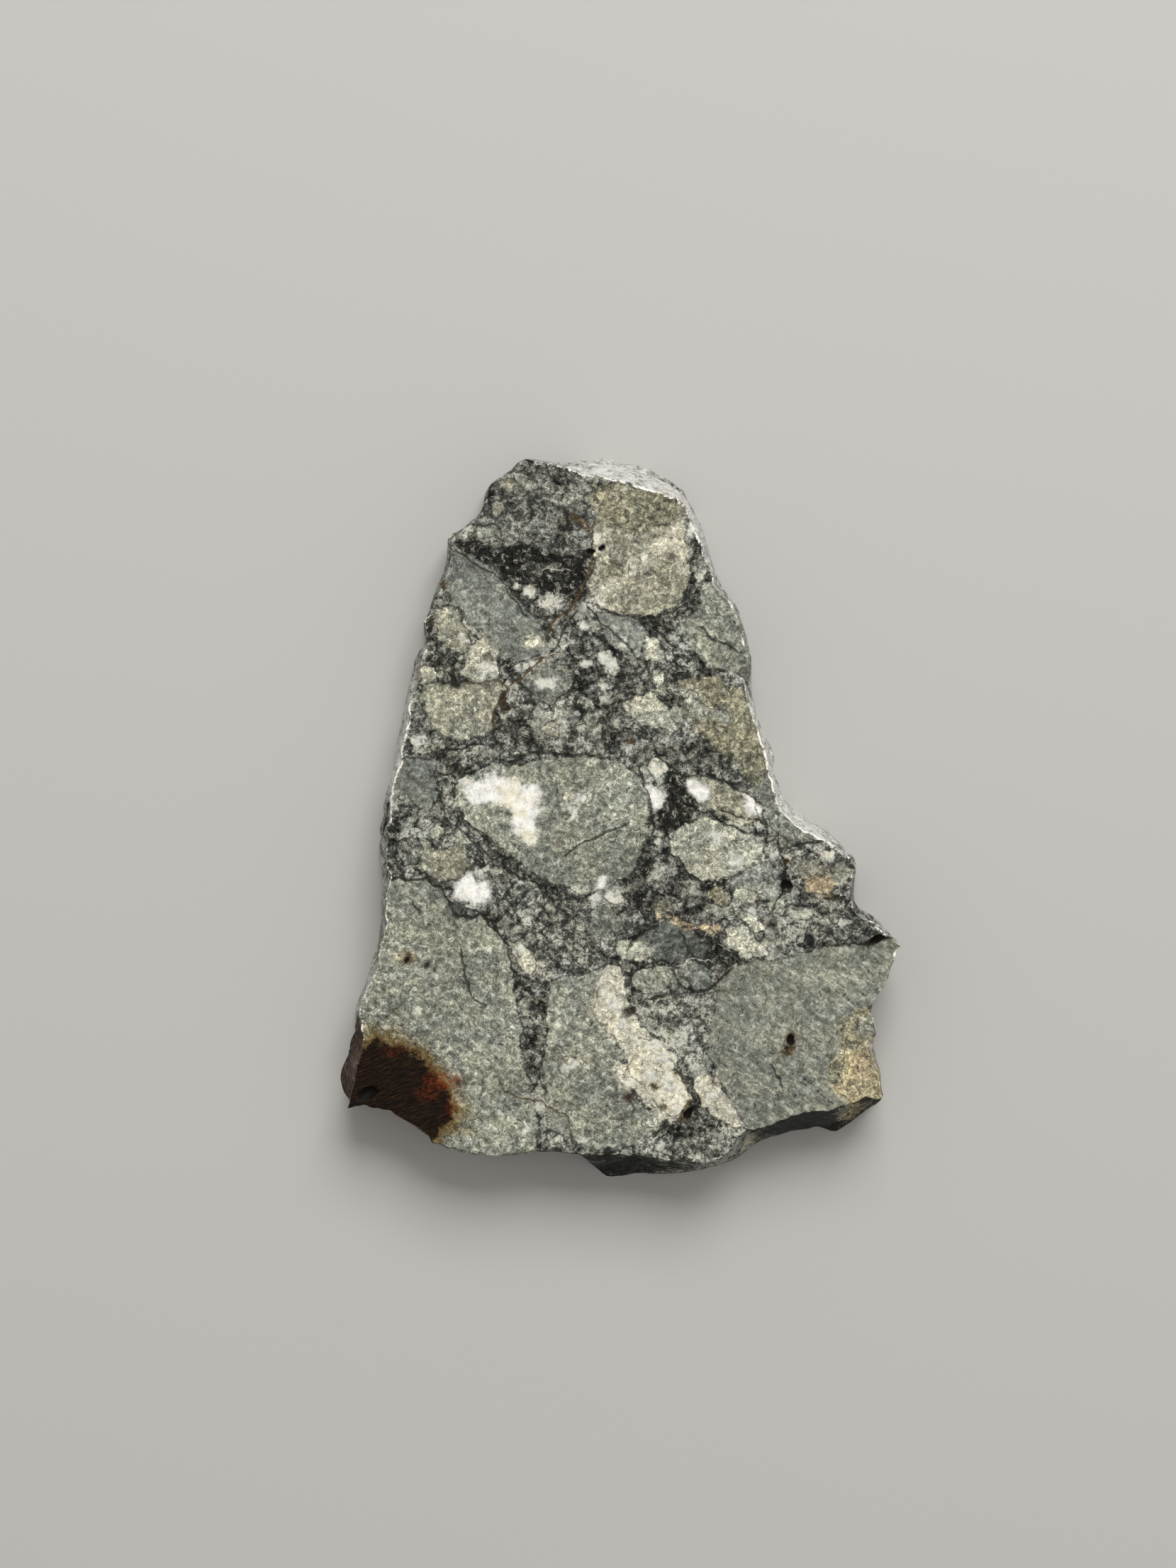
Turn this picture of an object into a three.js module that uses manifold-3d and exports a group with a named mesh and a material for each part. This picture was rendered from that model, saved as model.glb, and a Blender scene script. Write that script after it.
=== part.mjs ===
// A sawn slice of a lunar feldspathic breccia: two flat sawn faces, and a broken rim all the way round.
// Millimetres, +Z up. The slice lies on its back face at z = 0; its front face looks up.
// +X is to the right and +Y to the top of the slice as seen from the front.
import * as THREE from "three";
import { mergeVertices } from "three/addons/utils/BufferGeometryUtils.js";
import Module from "manifold-3d";

const THICKNESS = 2.0;
const RIM_STEP = 0.15; // spacing of the points along the rim
const SERRATION = 0.045; // how far the fine teeth of the front edge stand off the outline
const TOOTH_SIZE = 0.25;
const NORMAL_REACH = 0.7; // length of rim over which its outward direction is evened out
const LEAN_REACH = 0.22; // length of rim over which one lean passes into the next
const LEAN_POWER = 0.8; // under 1 bows the fracture outwards, just below the front edge
const LUMP_SIZE = 1.0;
const LUMP_HEIGHT = 0.07;
const GRAIN_SIZE = 0.4;
const GRAIN_HEIGHT = 0.05;
const ROUGH_BY = 0.3; // share of the thickness, from the front edge, over which the roughness sets in
const RIM_ROWS = [0.05, 0.17, 0.32, 0.48, 0.64, 0.8, 0.93, 1]; // share of the thickness, from the front

// The edge of the front face, counter-clockwise from the top left corner, in stretches.
// lean is how far the back face reaches out past the front one there: below 0, the rim is undercut.
// A corner may have its own lean as a third number, where the broken rim juts out or draws in.
const STRETCHES = [
  // left shoulder
  {
    lean: 0.06,
    edge: [
      [-2.66, 10.1], [-2.9, 10.0], [-3.0, 9.8], [-3.1, 9.66], [-3.4, 9.58], [-3.58, 9.4],
      [-3.72, 9.16], [-3.78, 8.84], [-3.92, 8.56], [-4.12, 8.34], [-4.3, 8.12], [-4.48, 7.96],
      [-4.66, 8.0], [-4.84, 7.84], [-4.84, 7.64], [-4.76, 7.4], [-4.88, 7.1], [-4.96, 6.76],
      [-5.12, 6.64], [-5.04, 6.38], [-5.26, 6.18], [-5.24, 5.8], [-5.52, 5.52], [-5.46, 5.18],
    ],
  },
  // left side
  {
    lean: 0.18,
    edge: [
      [-5.44, 4.74], [-5.62, 4.4], [-5.64, 4.04], [-5.82, 3.56], [-5.94, 3.12], [-5.94, 2.8],
      [-6.06, 2.28], [-6.18, 1.92], [-6.2, 1.56], [-6.36, 1.12], [-6.44, 0.6], [-6.52, 0.26],
      [-6.46, 0], [-6.6, -0.32], [-6.64, -0.92], [-6.6, -1.32], [-6.46, -1.64], [-6.56, -1.94],
      [-6.62, -2.46], [-6.62, -3.0], [-6.68, -3.4], [-6.82, -3.86], [-6.9, -4.32], [-7.02, -4.68],
      [-7.32, -5.24], [-7.38, -5.6], [-7.28, -5.86],
    ],
  },
  // rusty corner, outer side
  {
    lean: 0.4,
    edge: [
      [-7.24, -6.18, 0.28], [-7.32, -6.52], [-7.36, -6.88], [-7.42, -7.14, 0.38], [-7.44, -7.3, 0.55],
      [-7.46, -7.5, 0.6], [-7.52, -7.7, 0.46], [-7.62, -7.9, 0.25],
    ],
  },
  // rusty corner, foot
  {
    lean: -0.1,
    edge: [
      [-7.7, -8.26], [-7.5, -8.2], [-7.16, -8.16], [-6.88, -8.22], [-6.62, -8.32], [-6.28, -8.44],
      [-5.92, -8.64], [-5.64, -8.8], [-5.38, -8.98], [-5.28, -9.24],
    ],
  },
  // bottom, left half
  {
    lean: 0.1,
    edge: [
      [-5.0, -9.32], [-4.58, -9.44], [-4.18, -9.54], [-3.44, -9.6], [-2.94, -9.54], [-2.52, -9.5],
      [-2.24, -9.42], [-1.88, -9.46], [-1.36, -9.52], [-1.06, -9.58],
    ],
  },
  // bottom, right half
  {
    lean: 0.7,
    edge: [
      [-0.72, -9.6, 0.35], [-0.4, -9.59], [-0.16, -9.58, 0.78], [0.36, -9.6], [0.86, -9.66, 0.6],
      [1.56, -9.76, 0.46], [2.2, -9.82, 0.33],
    ],
  },
  // bottom right rise
  {
    lean: 0.6,
    edge: [
      [2.58, -9.78, 0.3], [2.92, -9.6, 0.42], [3.16, -9.34, 0.55], [3.36, -9.08], [3.64, -8.86],
      [4.06, -8.74, 0.48], [4.5, -8.64, 0.42], [4.82, -8.54, 0.42], [5.2, -8.38, 0.5],
      [5.62, -8.3, 0.68], [5.96, -8.28, 0.78], [6.28, -8.14, 0.84], [6.62, -8.06], [6.94, -7.94, 0.52],
    ],
  },
  // right foot and nodules
  {
    lean: 0.06,
    edge: [
      [7.24, -8.0, 0.32], [7.42, -7.92, 0.2], [7.44, -7.68], [7.34, -7.4], [7.24, -7.12], [7.12, -6.76],
      [7.04, -6.44], [7.18, -6.22], [7.28, -6.04], [7.2, -5.72], [7.04, -5.46],
    ],
  },
  // right lobe, under side
  {
    lean: -0.12,
    edge: [
      [7.18, -5.22], [7.34, -5.0], [7.52, -4.62], [7.72, -4.2], [7.86, -3.88], [7.94, -3.66],
    ],
  },
  // right lobe, top and notch
  {
    lean: 0.12,
    edge: [
      [7.82, -3.48], [7.6, -3.32], [7.4, -3.16], [7.2, -2.98], [6.92, -2.92, 0.2], [6.78, -2.76],
      [6.58, -2.52], [6.58, -2.28], [6.5, -2.08], [6.6, -1.74], [6.64, -1.36], [6.54, -1.16],
    ],
  },
  // right ledge
  {
    lean: 0.27,
    edge: [
      [6.28, -1.0, 0.12], [6.08, -0.76], [5.92, -0.64], [5.62, -0.52], [5.3, -0.4], [5.04, -0.28],
      [4.8, -0.06], [4.6, 0.12], [4.44, 0.36],
    ],
  },
  // right side
  {
    lean: 0.16,
    edge: [
      [4.44, 0.64], [4.32, 1.02], [4.22, 1.36], [4.18, 1.8], [4.02, 2.2], [3.9, 2.58], [3.72, 2.9],
      [3.62, 3.28], [3.58, 3.62], [3.54, 3.94], [3.66, 4.24], [3.68, 4.6], [3.54, 4.82],
      [3.46, 5.16], [3.42, 5.48], [3.32, 5.8], [3.24, 6.02], [3.0, 6.2], [2.8, 6.42], [2.66, 6.62],
      [2.58, 6.88], [2.46, 7.14], [2.36, 7.46], [2.28, 7.82], [2.18, 8.16], [2.04, 8.42, 0.2],
      [1.9, 8.72, 0.24], [1.76, 8.94, 0.26],
    ],
  },
  // top, right half
  {
    lean: 0.58,
    edge: [
      [1.62, 9.04, 0.34], [1.46, 9.0, 0.44], [1.24, 9.1, 0.5], [0.88, 9.26], [0.6, 9.33, 0.72],
      [0.36, 9.39, 0.64],
    ],
  },
  // top, left half
  {
    lean: 0.62,
    edge: [
      [-0.08, 9.5], [-0.34, 9.55], [-0.5, 9.58, 0.76], [-0.76, 9.62, 0.62], [-1.1, 9.68, 0.48],
      [-1.44, 9.84, 0.26],
    ],
  },
  // top left corner
  {
    lean: 0.12,
    edge: [
      [-1.74, 9.9], [-2.08, 9.98], [-2.4, 10.04],
    ],
  },
];

// Open pits in the front face, where a grain was plucked out: centre, radii along x and y, depth, turn.
const PITS = [
  { at: [-7.1, -7.8], size: [0.27, 0.19], depth: 0.18, turn: 0.3 }, // in the rusty corner
  { at: [-0.8, 7.5], size: [0.16, 0.08], depth: 0.12, turn: 0.2 }, // two beside the buff clast
  { at: [-0.5, 7.59], size: [0.11, 0.08], depth: 0.1, turn: 0 },
  { at: [4.86, -6.3], size: [0.13, 0.15], depth: 0.12, turn: 0.3 }, // two in the slate clast
  { at: [4.7, -6.54], size: [0.09, 0.07], depth: 0.08, turn: 0.6 },
  { at: [4.7, -1.92], size: [0.2, 0.13], depth: 0.12, turn: -0.4 }, // below the right ledge
  { at: [7.28, -3.46], size: [0.24, 0.1], depth: 0.12, turn: 0.4 }, // on the right lobe
  { at: [1.96, -8.36], size: [0.1, 0.2], depth: 0.12, turn: -0.5 }, // at the foot of the long pale clast
  { at: [-6.0, -4.04], size: [0.1, 0.1], depth: 0.08, turn: 0 }, // in the large left clast
];
const PIT_CROWN = 0.25; // how far a pit's cutter stands above the face, as a share of the pit's depth
const PIT_BREAKS = 2; // breaks in a pit's outline for each of its radii
const PIT_ROUGHNESS = 0.2; // how far those breaks move its wall, as a share of its radius

const LATTICE_WAVES = [127.1, 311.7, 74.7];
const LATTICE_GAIN = 43758.5453;

// A number from -1 to 1 that belongs to one corner of the unit lattice.
function latticeValue(i, j, k) {
  const wave = Math.sin(i * LATTICE_WAVES[0] + j * LATTICE_WAVES[1] + k * LATTICE_WAVES[2]) * LATTICE_GAIN;
  return 2 * (wave - Math.floor(wave)) - 1;
}

// Smooth noise from -1 to 1: the lattice's values, eased from corner to corner in three directions.
function noise(x, y, z) {
  const cell = [x, y, z].map(Math.floor);
  const ease = [x, y, z].map((v, a) => THREE.MathUtils.smoothstep(v - cell[a], 0, 1));
  let sum = 0;
  for (const dx of [0, 1])
    for (const dy of [0, 1])
      for (const dz of [0, 1]) {
        const weight =
          (dx ? ease[0] : 1 - ease[0]) * (dy ? ease[1] : 1 - ease[1]) * (dz ? ease[2] : 1 - ease[2]);
        sum += weight * latticeValue(cell[0] + dx, cell[1] + dy, cell[2] + dz);
      }
  return sum;
}

// The front edge as evenly spaced points, each with the lean of its stretch.
function rimPoints() {
  const corners = STRETCHES.flatMap(({ lean, edge }) =>
    edge.map(([x, y, own = lean]) => ({ at: new THREE.Vector2(x, y), lean: own })),
  );
  const points = [];
  corners.forEach((corner, i) => {
    const next = corners[(i + 1) % corners.length];
    const parts = Math.max(1, Math.round(corner.at.distanceTo(next.at) / RIM_STEP));
    for (let k = 0; k < parts; k++)
      points.push({
        at: corner.at.clone().lerp(next.at, k / parts),
        lean: THREE.MathUtils.lerp(corner.lean, next.lean, k / parts),
      });
  });
  return points;
}

// The average of a value over the rim's points within reach of point i.
function evened(points, i, reach, valueOf) {
  const n = points.length;
  const span = Math.round(reach / RIM_STEP);
  const sum = valueOf(points[i]).clone().multiplyScalar(0);
  for (let k = -span; k <= span; k++) sum.add(valueOf(points[(i + k + n) % n]));
  return sum.divideScalar(2 * span + 1);
}

// The rim: for each point its place, its outward direction and its evened lean.
function rim() {
  const points = rimPoints();
  const n = points.length;
  points.forEach((point, i) => {
    const ahead = points[(i + 1) % n].at;
    const behind = points[(i + n - 1) % n].at;
    const along = ahead.clone().sub(behind);
    point.side = new THREE.Vector2(along.y, -along.x).normalize();
  });
  return points.map((point, i) => {
    const out = evened(points, i, NORMAL_REACH, (p) => p.side).normalize();
    const lean = evened(points, i, LEAN_REACH, (p) => new THREE.Vector2(p.lean, 0)).x;
    const tooth = SERRATION * noise(point.at.x / TOOTH_SIZE, point.at.y / TOOTH_SIZE, 0);
    return { at: point.at.clone().addScaledVector(out, tooth), out, lean };
  });
}

// How far the broken rim stands out past the front edge at a share t of the thickness.
function fracture({ at, lean }, t) {
  const z = THICKNESS * t;
  const lumps = LUMP_HEIGHT * noise(at.x / LUMP_SIZE, at.y / LUMP_SIZE, z / LUMP_SIZE);
  const grains = GRAIN_HEIGHT * noise(at.x / GRAIN_SIZE, at.y / GRAIN_SIZE, z / GRAIN_SIZE);
  const rough = THREE.MathUtils.smoothstep(t, 0, ROUGH_BY);
  return lean * Math.pow(t, LEAN_POWER) + rough * (lumps + grains);
}

// Closed geometry from rings of points, first the front one: bands between rings, and a flat cap on each end.
function closedRings(rings) {
  const n = rings[0].length;
  const flat = (ring) => ring.map((p) => new THREE.Vector2(p.x, p.y));
  const index = [];
  rings.slice(1).forEach((_, r) => {
    for (let i = 0; i < n; i++) {
      const [a, b] = [r * n + i, r * n + ((i + 1) % n)];
      index.push(a, a + n, b, b, a + n, b + n);
    }
  });
  const last = (rings.length - 1) * n;
  THREE.ShapeUtils.triangulateShape(flat(rings[0]), []).forEach(([a, b, c]) => index.push(a, b, c));
  THREE.ShapeUtils.triangulateShape(flat(rings.at(-1)), []).forEach(([a, b, c]) =>
    index.push(last + a, last + c, last + b),
  );
  const geometry = new THREE.BufferGeometry().setFromPoints(rings.flat());
  geometry.setIndex(index);
  return geometry;
}

function sliceGeometry() {
  const points = rim();
  const rings = [0, ...RIM_ROWS].map((t) =>
    points.map((point) => {
      const place = point.at.clone().addScaledVector(point.out, fracture(point, t));
      return new THREE.Vector3(place.x, place.y, THICKNESS * (1 - t));
    }),
  );
  return closedRings(rings);
}

// The cutter of one pit: a squashed ball whose surface is broken by noise, sunk in the front face.
function pitGeometry({ at, size, depth, turn }) {
  const ball = new THREE.IcosahedronGeometry(1, 1);
  ball.deleteAttribute("normal");
  ball.deleteAttribute("uv");
  const geometry = mergeVertices(ball);
  const place = geometry.getAttribute("position");
  for (let i = 0; i < place.count; i++) {
    const v = new THREE.Vector3().fromBufferAttribute(place, i);
    const [x, y, z] = v.toArray().map((c) => c * PIT_BREAKS);
    v.multiplyScalar(1 + PIT_ROUGHNESS * noise(x + at[0], y + at[1], z));
    place.setXYZ(i, v.x, v.y, v.z);
  }
  geometry.scale(size[0], size[1], depth);
  geometry.rotateZ(turn);
  geometry.translate(at[0], at[1], THICKNESS - PIT_CROWN * depth);
  return geometry;
}

const wasm = await Module();
wasm.setup();

function solidOf(geometry) {
  return new wasm.Manifold(
    new wasm.Mesh({
      numProp: 3,
      vertProperties: new Float32Array(geometry.getAttribute("position").array),
      triVerts: new Uint32Array(geometry.getIndex().array),
    }),
  );
}

function geometryOf(solid) {
  const mesh = solid.getMesh();
  const geometry = new THREE.BufferGeometry();
  geometry.setAttribute("position", new THREE.BufferAttribute(mesh.vertProperties, mesh.numProp));
  geometry.setIndex(new THREE.BufferAttribute(mesh.triVerts, 1));
  geometry.computeVertexNormals();
  return geometry;
}

function meteoriteSlice() {
  const sawn = solidOf(sliceGeometry());
  const pitted = PITS.reduce((stone, pit) => stone.subtract(solidOf(pitGeometry(pit))), sawn);
  const breccia = new THREE.MeshStandardMaterial({ color: 0x6f6f69, roughness: 0.75, metalness: 0 });
  const mesh = new THREE.Mesh(geometryOf(pitted), breccia);
  mesh.name = "meteorite_slice";
  return mesh;
}

const specimen = new THREE.Group();
specimen.add(meteoriteSlice());

export default specimen;
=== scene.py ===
# %% [markdown]
# # A slice of moon rock
# The object is a thin slice sawn from a lunar breccia: rock that impacts have broken, crushed and
# welded again. Pale angular pieces, the clasts, sit in a dark crushed ground. Both faces are sawn
# flat, the rim all round is broken, and one corner is stained dark brown by rust.
#
# A slice like this could be sculpted, or modelled as a box with a noisy bevel. Here it is one closed
# surface worked out with numpy, because the outline is already fixed by the CAD solid, and because
# the same arrays can then carry the pattern of the rock.

# %% The frame
import math

import bpy
import numpy as np
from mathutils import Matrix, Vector


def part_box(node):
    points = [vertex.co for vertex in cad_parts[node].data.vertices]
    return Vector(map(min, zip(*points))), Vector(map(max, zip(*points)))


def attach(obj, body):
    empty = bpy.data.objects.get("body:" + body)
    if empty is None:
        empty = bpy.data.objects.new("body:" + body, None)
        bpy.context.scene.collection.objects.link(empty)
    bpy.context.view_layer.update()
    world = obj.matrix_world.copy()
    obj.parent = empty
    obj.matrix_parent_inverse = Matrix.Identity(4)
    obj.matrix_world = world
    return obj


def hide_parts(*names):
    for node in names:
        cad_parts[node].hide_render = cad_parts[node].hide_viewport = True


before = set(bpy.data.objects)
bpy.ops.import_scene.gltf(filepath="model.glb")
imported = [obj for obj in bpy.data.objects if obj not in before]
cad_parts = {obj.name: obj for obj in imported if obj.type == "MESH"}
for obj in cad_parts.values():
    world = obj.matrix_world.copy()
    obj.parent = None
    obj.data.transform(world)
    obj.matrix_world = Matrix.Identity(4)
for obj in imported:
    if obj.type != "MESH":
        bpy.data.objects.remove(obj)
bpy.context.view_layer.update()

STONE = "meteorite_slice"
MM = 0.001
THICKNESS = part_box(STONE)[1][2] / MM
print(f"the slice is {THICKNESS:.2f} mm thick")

# %% [markdown]
# ## Places on the stone
# The photograph looks straight at the front face, so one scale serves for all of it. A place that was
# read in the photograph is written as a pixel, and this cell turns pixels into millimetres on the
# stone. Everything below works in millimetres, and only the finished mesh is scaled to metres.

# %% From photo pixels to millimetres
PIXEL_MM = 0.02
AXIS_PIXEL = np.array((874, 1152))


def on_stone(pixels):
    """Pixels (right, down) to millimetres (right, up) from the frame's Z axis."""
    return (np.asarray(pixels, float) - AXIS_PIXEL) * PIXEL_MM * (1, -1)


# %% [markdown]
# ## Noise in numpy
# Broken rock has no straight edge and no even tone. Blender's textures can't move the points of this
# mesh while its arrays are being worked out, so a few lines of value noise do that here: random
# numbers on a lattice, eased from corner to corner. It is the same noise as in the CAD source.

# %% Value noise
LATTICE_WAVES = (127.1, 311.7, 74.7)
LATTICE_GAIN = 43758.5453


def ease(t):
    """The smooth step from 0 to 1: three t squared less two t cubed, with t held between 0 and 1."""
    t = np.clip(t, 0, 1)
    return t * t * (3 - 2 * t)


def noise(x, y, z=0.0):
    """Noise from -1 to 1: the lattice's eight values round a point, each weighted by its nearness."""
    place = np.stack(np.broadcast_arrays(x, y, z))
    low = np.floor(place)
    share = ease(place - low)
    total = 0.0
    for corner in np.ndindex(2, 2, 2):
        side = np.reshape(corner, (3,) + (1,) * (place.ndim - 1))
        weight = np.prod(np.where(side == 1, share, 1 - share), axis=0)
        wave = np.sin(np.tensordot(LATTICE_WAVES, low + side, 1)) * LATTICE_GAIN
        total = total + weight * (2 * (wave - np.floor(wave)) - 1)
    return total


def rubble(x, y, z, size, octaves=3):
    """Noise summed over octaves: each is half as large and half as strong as the one before."""
    total = sum(noise(x * 2**k / size, y * 2**k / size, z * 2**k / size + 7 * k) / 2**k
                for k in range(octaves))
    return total / sum(0.5**k for k in range(octaves))


# %% [markdown]
# ## The outline
# The CAD solid's caps are flat, so the triangles with all corners at one height are a cap, and a side
# that only one of them uses is on its border. Such sides are followed end to end, which is the one
# place where each step depends on the last.

# %% The borders of the two sawn faces
FLATNESS = 0.002  # mm


def solid_triangles(node):
    """The CAD node's corners in mm with doubles merged, and its triangles."""
    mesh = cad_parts[node].data
    corners = np.empty(len(mesh.vertices) * 3, np.float32)
    mesh.vertices.foreach_get("co", corners)
    triangles = np.empty(len(mesh.loops), np.int32)
    mesh.loops.foreach_get("vertex_index", triangles)
    rounded = np.round(corners.reshape(-1, 3).astype(float) / MM, 3)
    merged, where = np.unique(rounded, axis=0, return_inverse=True)
    return merged, where.reshape(-1)[triangles].reshape(-1, 3)


def cap_border(corners, triangles, height):
    """The outline of the flat cap at a height, counter-clockwise seen from above, in mm."""
    cap = triangles[np.all(np.abs(corners[triangles, 2] - height) < FLATNESS, axis=1)]
    sides = np.concatenate([cap[:, [0, 1]], cap[:, [1, 2]], cap[:, [2, 0]]])
    codes = sides @ (len(corners), 1)
    border = sides[~np.isin(codes, sides @ (1, len(corners)))]
    following = dict(border.tolist())
    start = border[np.argmin(corners[border[:, 0], 0]), 0]
    walk = [start, following[start]]
    while walk[-1] != start:
        walk.append(following[walk[-1]])
    outline = corners[walk[:-1], :2]
    ahead = np.roll(outline, -1, axis=0)
    turning = np.sum(outline[:, 0] * ahead[:, 1] - ahead[:, 0] * outline[:, 1])
    return outline if turning > 0 else outline[::-1]


solid = solid_triangles(STONE)
front_border = cap_border(*solid, THICKNESS)
back_border = cap_border(*solid, 0.0)
print(f"the front outline has {len(front_border)} corners and the back one {len(back_border)}")

# %% [markdown]
# ## A grid with four sides
# A sheet of quads needs four sides, and the stone has none that are straight. Its outline is cut at
# four named corners instead, and each stretch gets evenly spaced points. The counts are the same on
# opposite sides, so that a grid can be stretched between them.

# %% Evenly spaced points along the outline
ACROSS, DOWN = 224, 288
CORNER_PIXELS = {"left shoulder": (634, 764), "rusty tip": (488, 1566), "right foot": (1246, 1549),
                 "top right": (962, 703)}
COUNTS = (DOWN, ACROSS, DOWN, ACROSS)
ROUND = sum(COUNTS)


def lengths(line):
    """The distance along a closed line to each of its points, and back to the first."""
    steps = np.linalg.norm(np.roll(line, -1, axis=0) - line, axis=1)
    return np.concatenate([[0], np.cumsum(steps)])


def along(line, distance):
    """The points of a closed line at these distances along it."""
    reach = lengths(line)
    closed = np.vstack([line, line[:1]])
    distance = np.mod(distance, reach[-1])
    return np.stack([np.interp(distance, reach, closed[:, a]) for a in (0, 1)], axis=1)


def nearest(line, places):
    """The index of the line's point nearest to each place."""
    return np.argmin(np.linalg.norm(line[None] - places[:, None], axis=2), axis=1)


corner_places = on_stone(list(CORNER_PIXELS.values()))
front_border = np.roll(front_border, -nearest(front_border, corner_places[:1])[0], axis=0)
cuts = lengths(front_border)[nearest(front_border, corner_places)]
cuts = np.append(cuts, lengths(front_border)[-1])
stations = np.concatenate([np.linspace(cuts[k], cuts[k + 1], COUNTS[k], endpoint=False)
                           for k in range(4)])
front_edge = along(front_border, stations)
print(f"{ROUND} points round the stone, {lengths(front_edge)[-1]:.1f} mm in all")

# %% [markdown]
# The back face's outline is longer in places, because the rim leans out. Every so often a point of
# the front edge is paired with the nearest point of the back edge, and the points between them are
# spread evenly, so that the rim's columns run straight down.

# %% The back edge, paired with the front one
PAIRS = 24


def paired(line, partner, pairs):
    """Points of a closed line, one for each point of the partner line, in step with it.

    Every so many points the nearest place is looked up, and distances along the line are
    interpolated between those."""
    line = np.roll(line, -nearest(line, partner[:1])[0], axis=0)
    reach = lengths(line)
    picks = np.linspace(0, len(partner), pairs, endpoint=False).astype(int)
    found = np.maximum.accumulate(reach[nearest(line, partner[picks])])
    return along(line, np.interp(np.arange(len(partner)), np.append(picks, len(partner)),
                                 np.append(found, reach[-1])))


back_edge = paired(back_border, front_edge, PAIRS)


def evened(ring, reach):
    """A ring of points averaged twice over so many neighbours each way."""
    for _ in range(2):
        ring = np.mean([np.roll(ring, k, axis=0) for k in range(-reach, reach + 1)], axis=0)
    return ring


def outwards(ring):
    """The unit direction out of a counter-clockwise ring: its own direction turned right."""
    ahead = np.roll(ring, -1, axis=0) - np.roll(ring, 1, axis=0)
    return np.stack([ahead[:, 1], -ahead[:, 0]], axis=1) / np.linalg.norm(ahead, axis=1)[:, None]


def inner_ring(edge):
    """A smooth ring just inside a jagged one: evened, drawn in by the inset, and evened again."""
    smooth = evened(edge, EVEN_REACH)
    return evened(smooth - INSET * outwards(smooth), EVEN_REACH)


EVEN_REACH = 10
INSET = 0.3
TEETH = ((0.26, 0.03), (0.13, 0.03))  # size and height in mm
TEETH_LEVEL = 0.4  # above the noise's middle, so that they cut in more than they stand out
out = outwards(evened(front_edge, EVEN_REACH))
for size, height in TEETH:
    tooth = noise(front_edge[:, 0] / size, front_edge[:, 1] / size, 8.0) - TEETH_LEVEL
    front_edge = front_edge + out * (height * tooth)[:, None]
inner_front, inner_back = inner_ring(front_edge), inner_ring(back_edge)
lean = np.sum((back_edge - front_edge) * out, axis=1)
print(f"the rim leans out by {lean.min():.2f} to {lean.max():.2f} mm")

# %% [markdown]
# ## The skin of the stone
# The skin is laid in rings, as bark is round a log: from a smooth ring just inside the front edge,
# out to the jagged edge, down the rim and in again under the back. A patch of quads closes each
# face. A bevel modifier would round every edge alike. Rings let the edge chip away here and there,
# and let the rim keep lumps where hard clasts stand out of the break.

# %% The sawn patches
RELAX_STEPS = 200


def patch(ring, across, down):
    """A grid stretched inside a closed ring that starts at its top left corner and runs down.

    A point of a Coons patch is the blend of the left and right sides, plus the blend of the
    bottom and top ones, less the blend of the four corners, which the first two count twice.
    Then each inner point moves to the middle of its four neighbours, over and over, which
    spreads the cells out where the outline bends."""
    closed = np.vstack([ring, ring[:1]])
    left = closed[down::-1][:down + 1]
    bottom = closed[down:down + across + 1]
    right = closed[down + across:2 * down + across + 1]
    top = closed[2 * down + across:][::-1]
    u = np.linspace(0, 1, across + 1)[None, :, None]
    v = np.linspace(0, 1, down + 1)[:, None, None]
    sides = (1 - u) * left[:, None] + u * right[:, None]
    ends = (1 - v) * bottom[None] + v * top[None]
    corners = ((1 - v) * ((1 - u) * bottom[0] + u * bottom[-1])
               + v * ((1 - u) * top[0] + u * top[-1]))
    grid = sides + ends - corners
    for _ in range(RELAX_STEPS):
        grid[1:-1, 1:-1] = (grid[:-2, 1:-1] + grid[2:, 1:-1] + grid[1:-1, :-2] + grid[1:-1, 2:]) / 4
    return grid


def patch_numbers(first_ring, first_inside, across, down):
    """The vertex number at each place of the grid: the ring's own on its border, new ones inside."""
    count = 2 * (across + down)
    ring = first_ring + np.append(np.arange(count), 0)
    numbers = np.zeros((down + 1, across + 1), int)
    numbers[1:-1, 1:-1] = first_inside + np.arange((down - 1) * (across - 1)).reshape(down - 1, -1)
    numbers[:, 0] = ring[down::-1][:down + 1]
    numbers[0] = ring[down:down + across + 1]
    numbers[:, -1] = ring[down + across:2 * down + across + 1]
    numbers[-1] = ring[2 * down + across:][::-1]
    return numbers


def patch_faces(numbers, up):
    """Quads of the grid, counter-clockwise from above if up."""
    a, b = numbers[:-1, :-1], numbers[:-1, 1:]
    c, d = numbers[1:, 1:], numbers[1:, :-1]
    order = (a, b, c, d) if up else (a, d, c, b)
    return np.stack([side.ravel() for side in order], axis=1)


def band(inner, outer, count):
    """Quads between two rings of the same count, whose first vertices are inner and outer."""
    k = np.arange(count)
    ahead = (k + 1) % count
    return np.stack([inner + k, outer + k, outer + ahead, inner + ahead], axis=1)


def halving_band(fine, coarse, count):
    """Triangles between a fine ring of this count and a ring of every second point."""
    k = np.arange(count // 2)
    even, odd, after = 2 * k, 2 * k + 1, (2 * k + 2) % count
    low, low_after = coarse + k, coarse + (k + 1) % (count // 2)
    return np.concatenate([np.stack(three, axis=1) for three in (
        (fine + even, low, fine + odd), (fine + odd, low, low_after),
        (fine + odd, low_after, fine + after))])


# %% [markdown]
# The broken rim follows one formula. At a share t of the thickness it stands out past the front edge
# by the lean there, times t to the power 0.8, so it bows a little below the edge. On that ride the
# crests and hollows of the break, which fade out at both sawn edges. A noise's size with its sign
# taken off has sharp creases where the noise passes through zero, and those are the crests.

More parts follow.
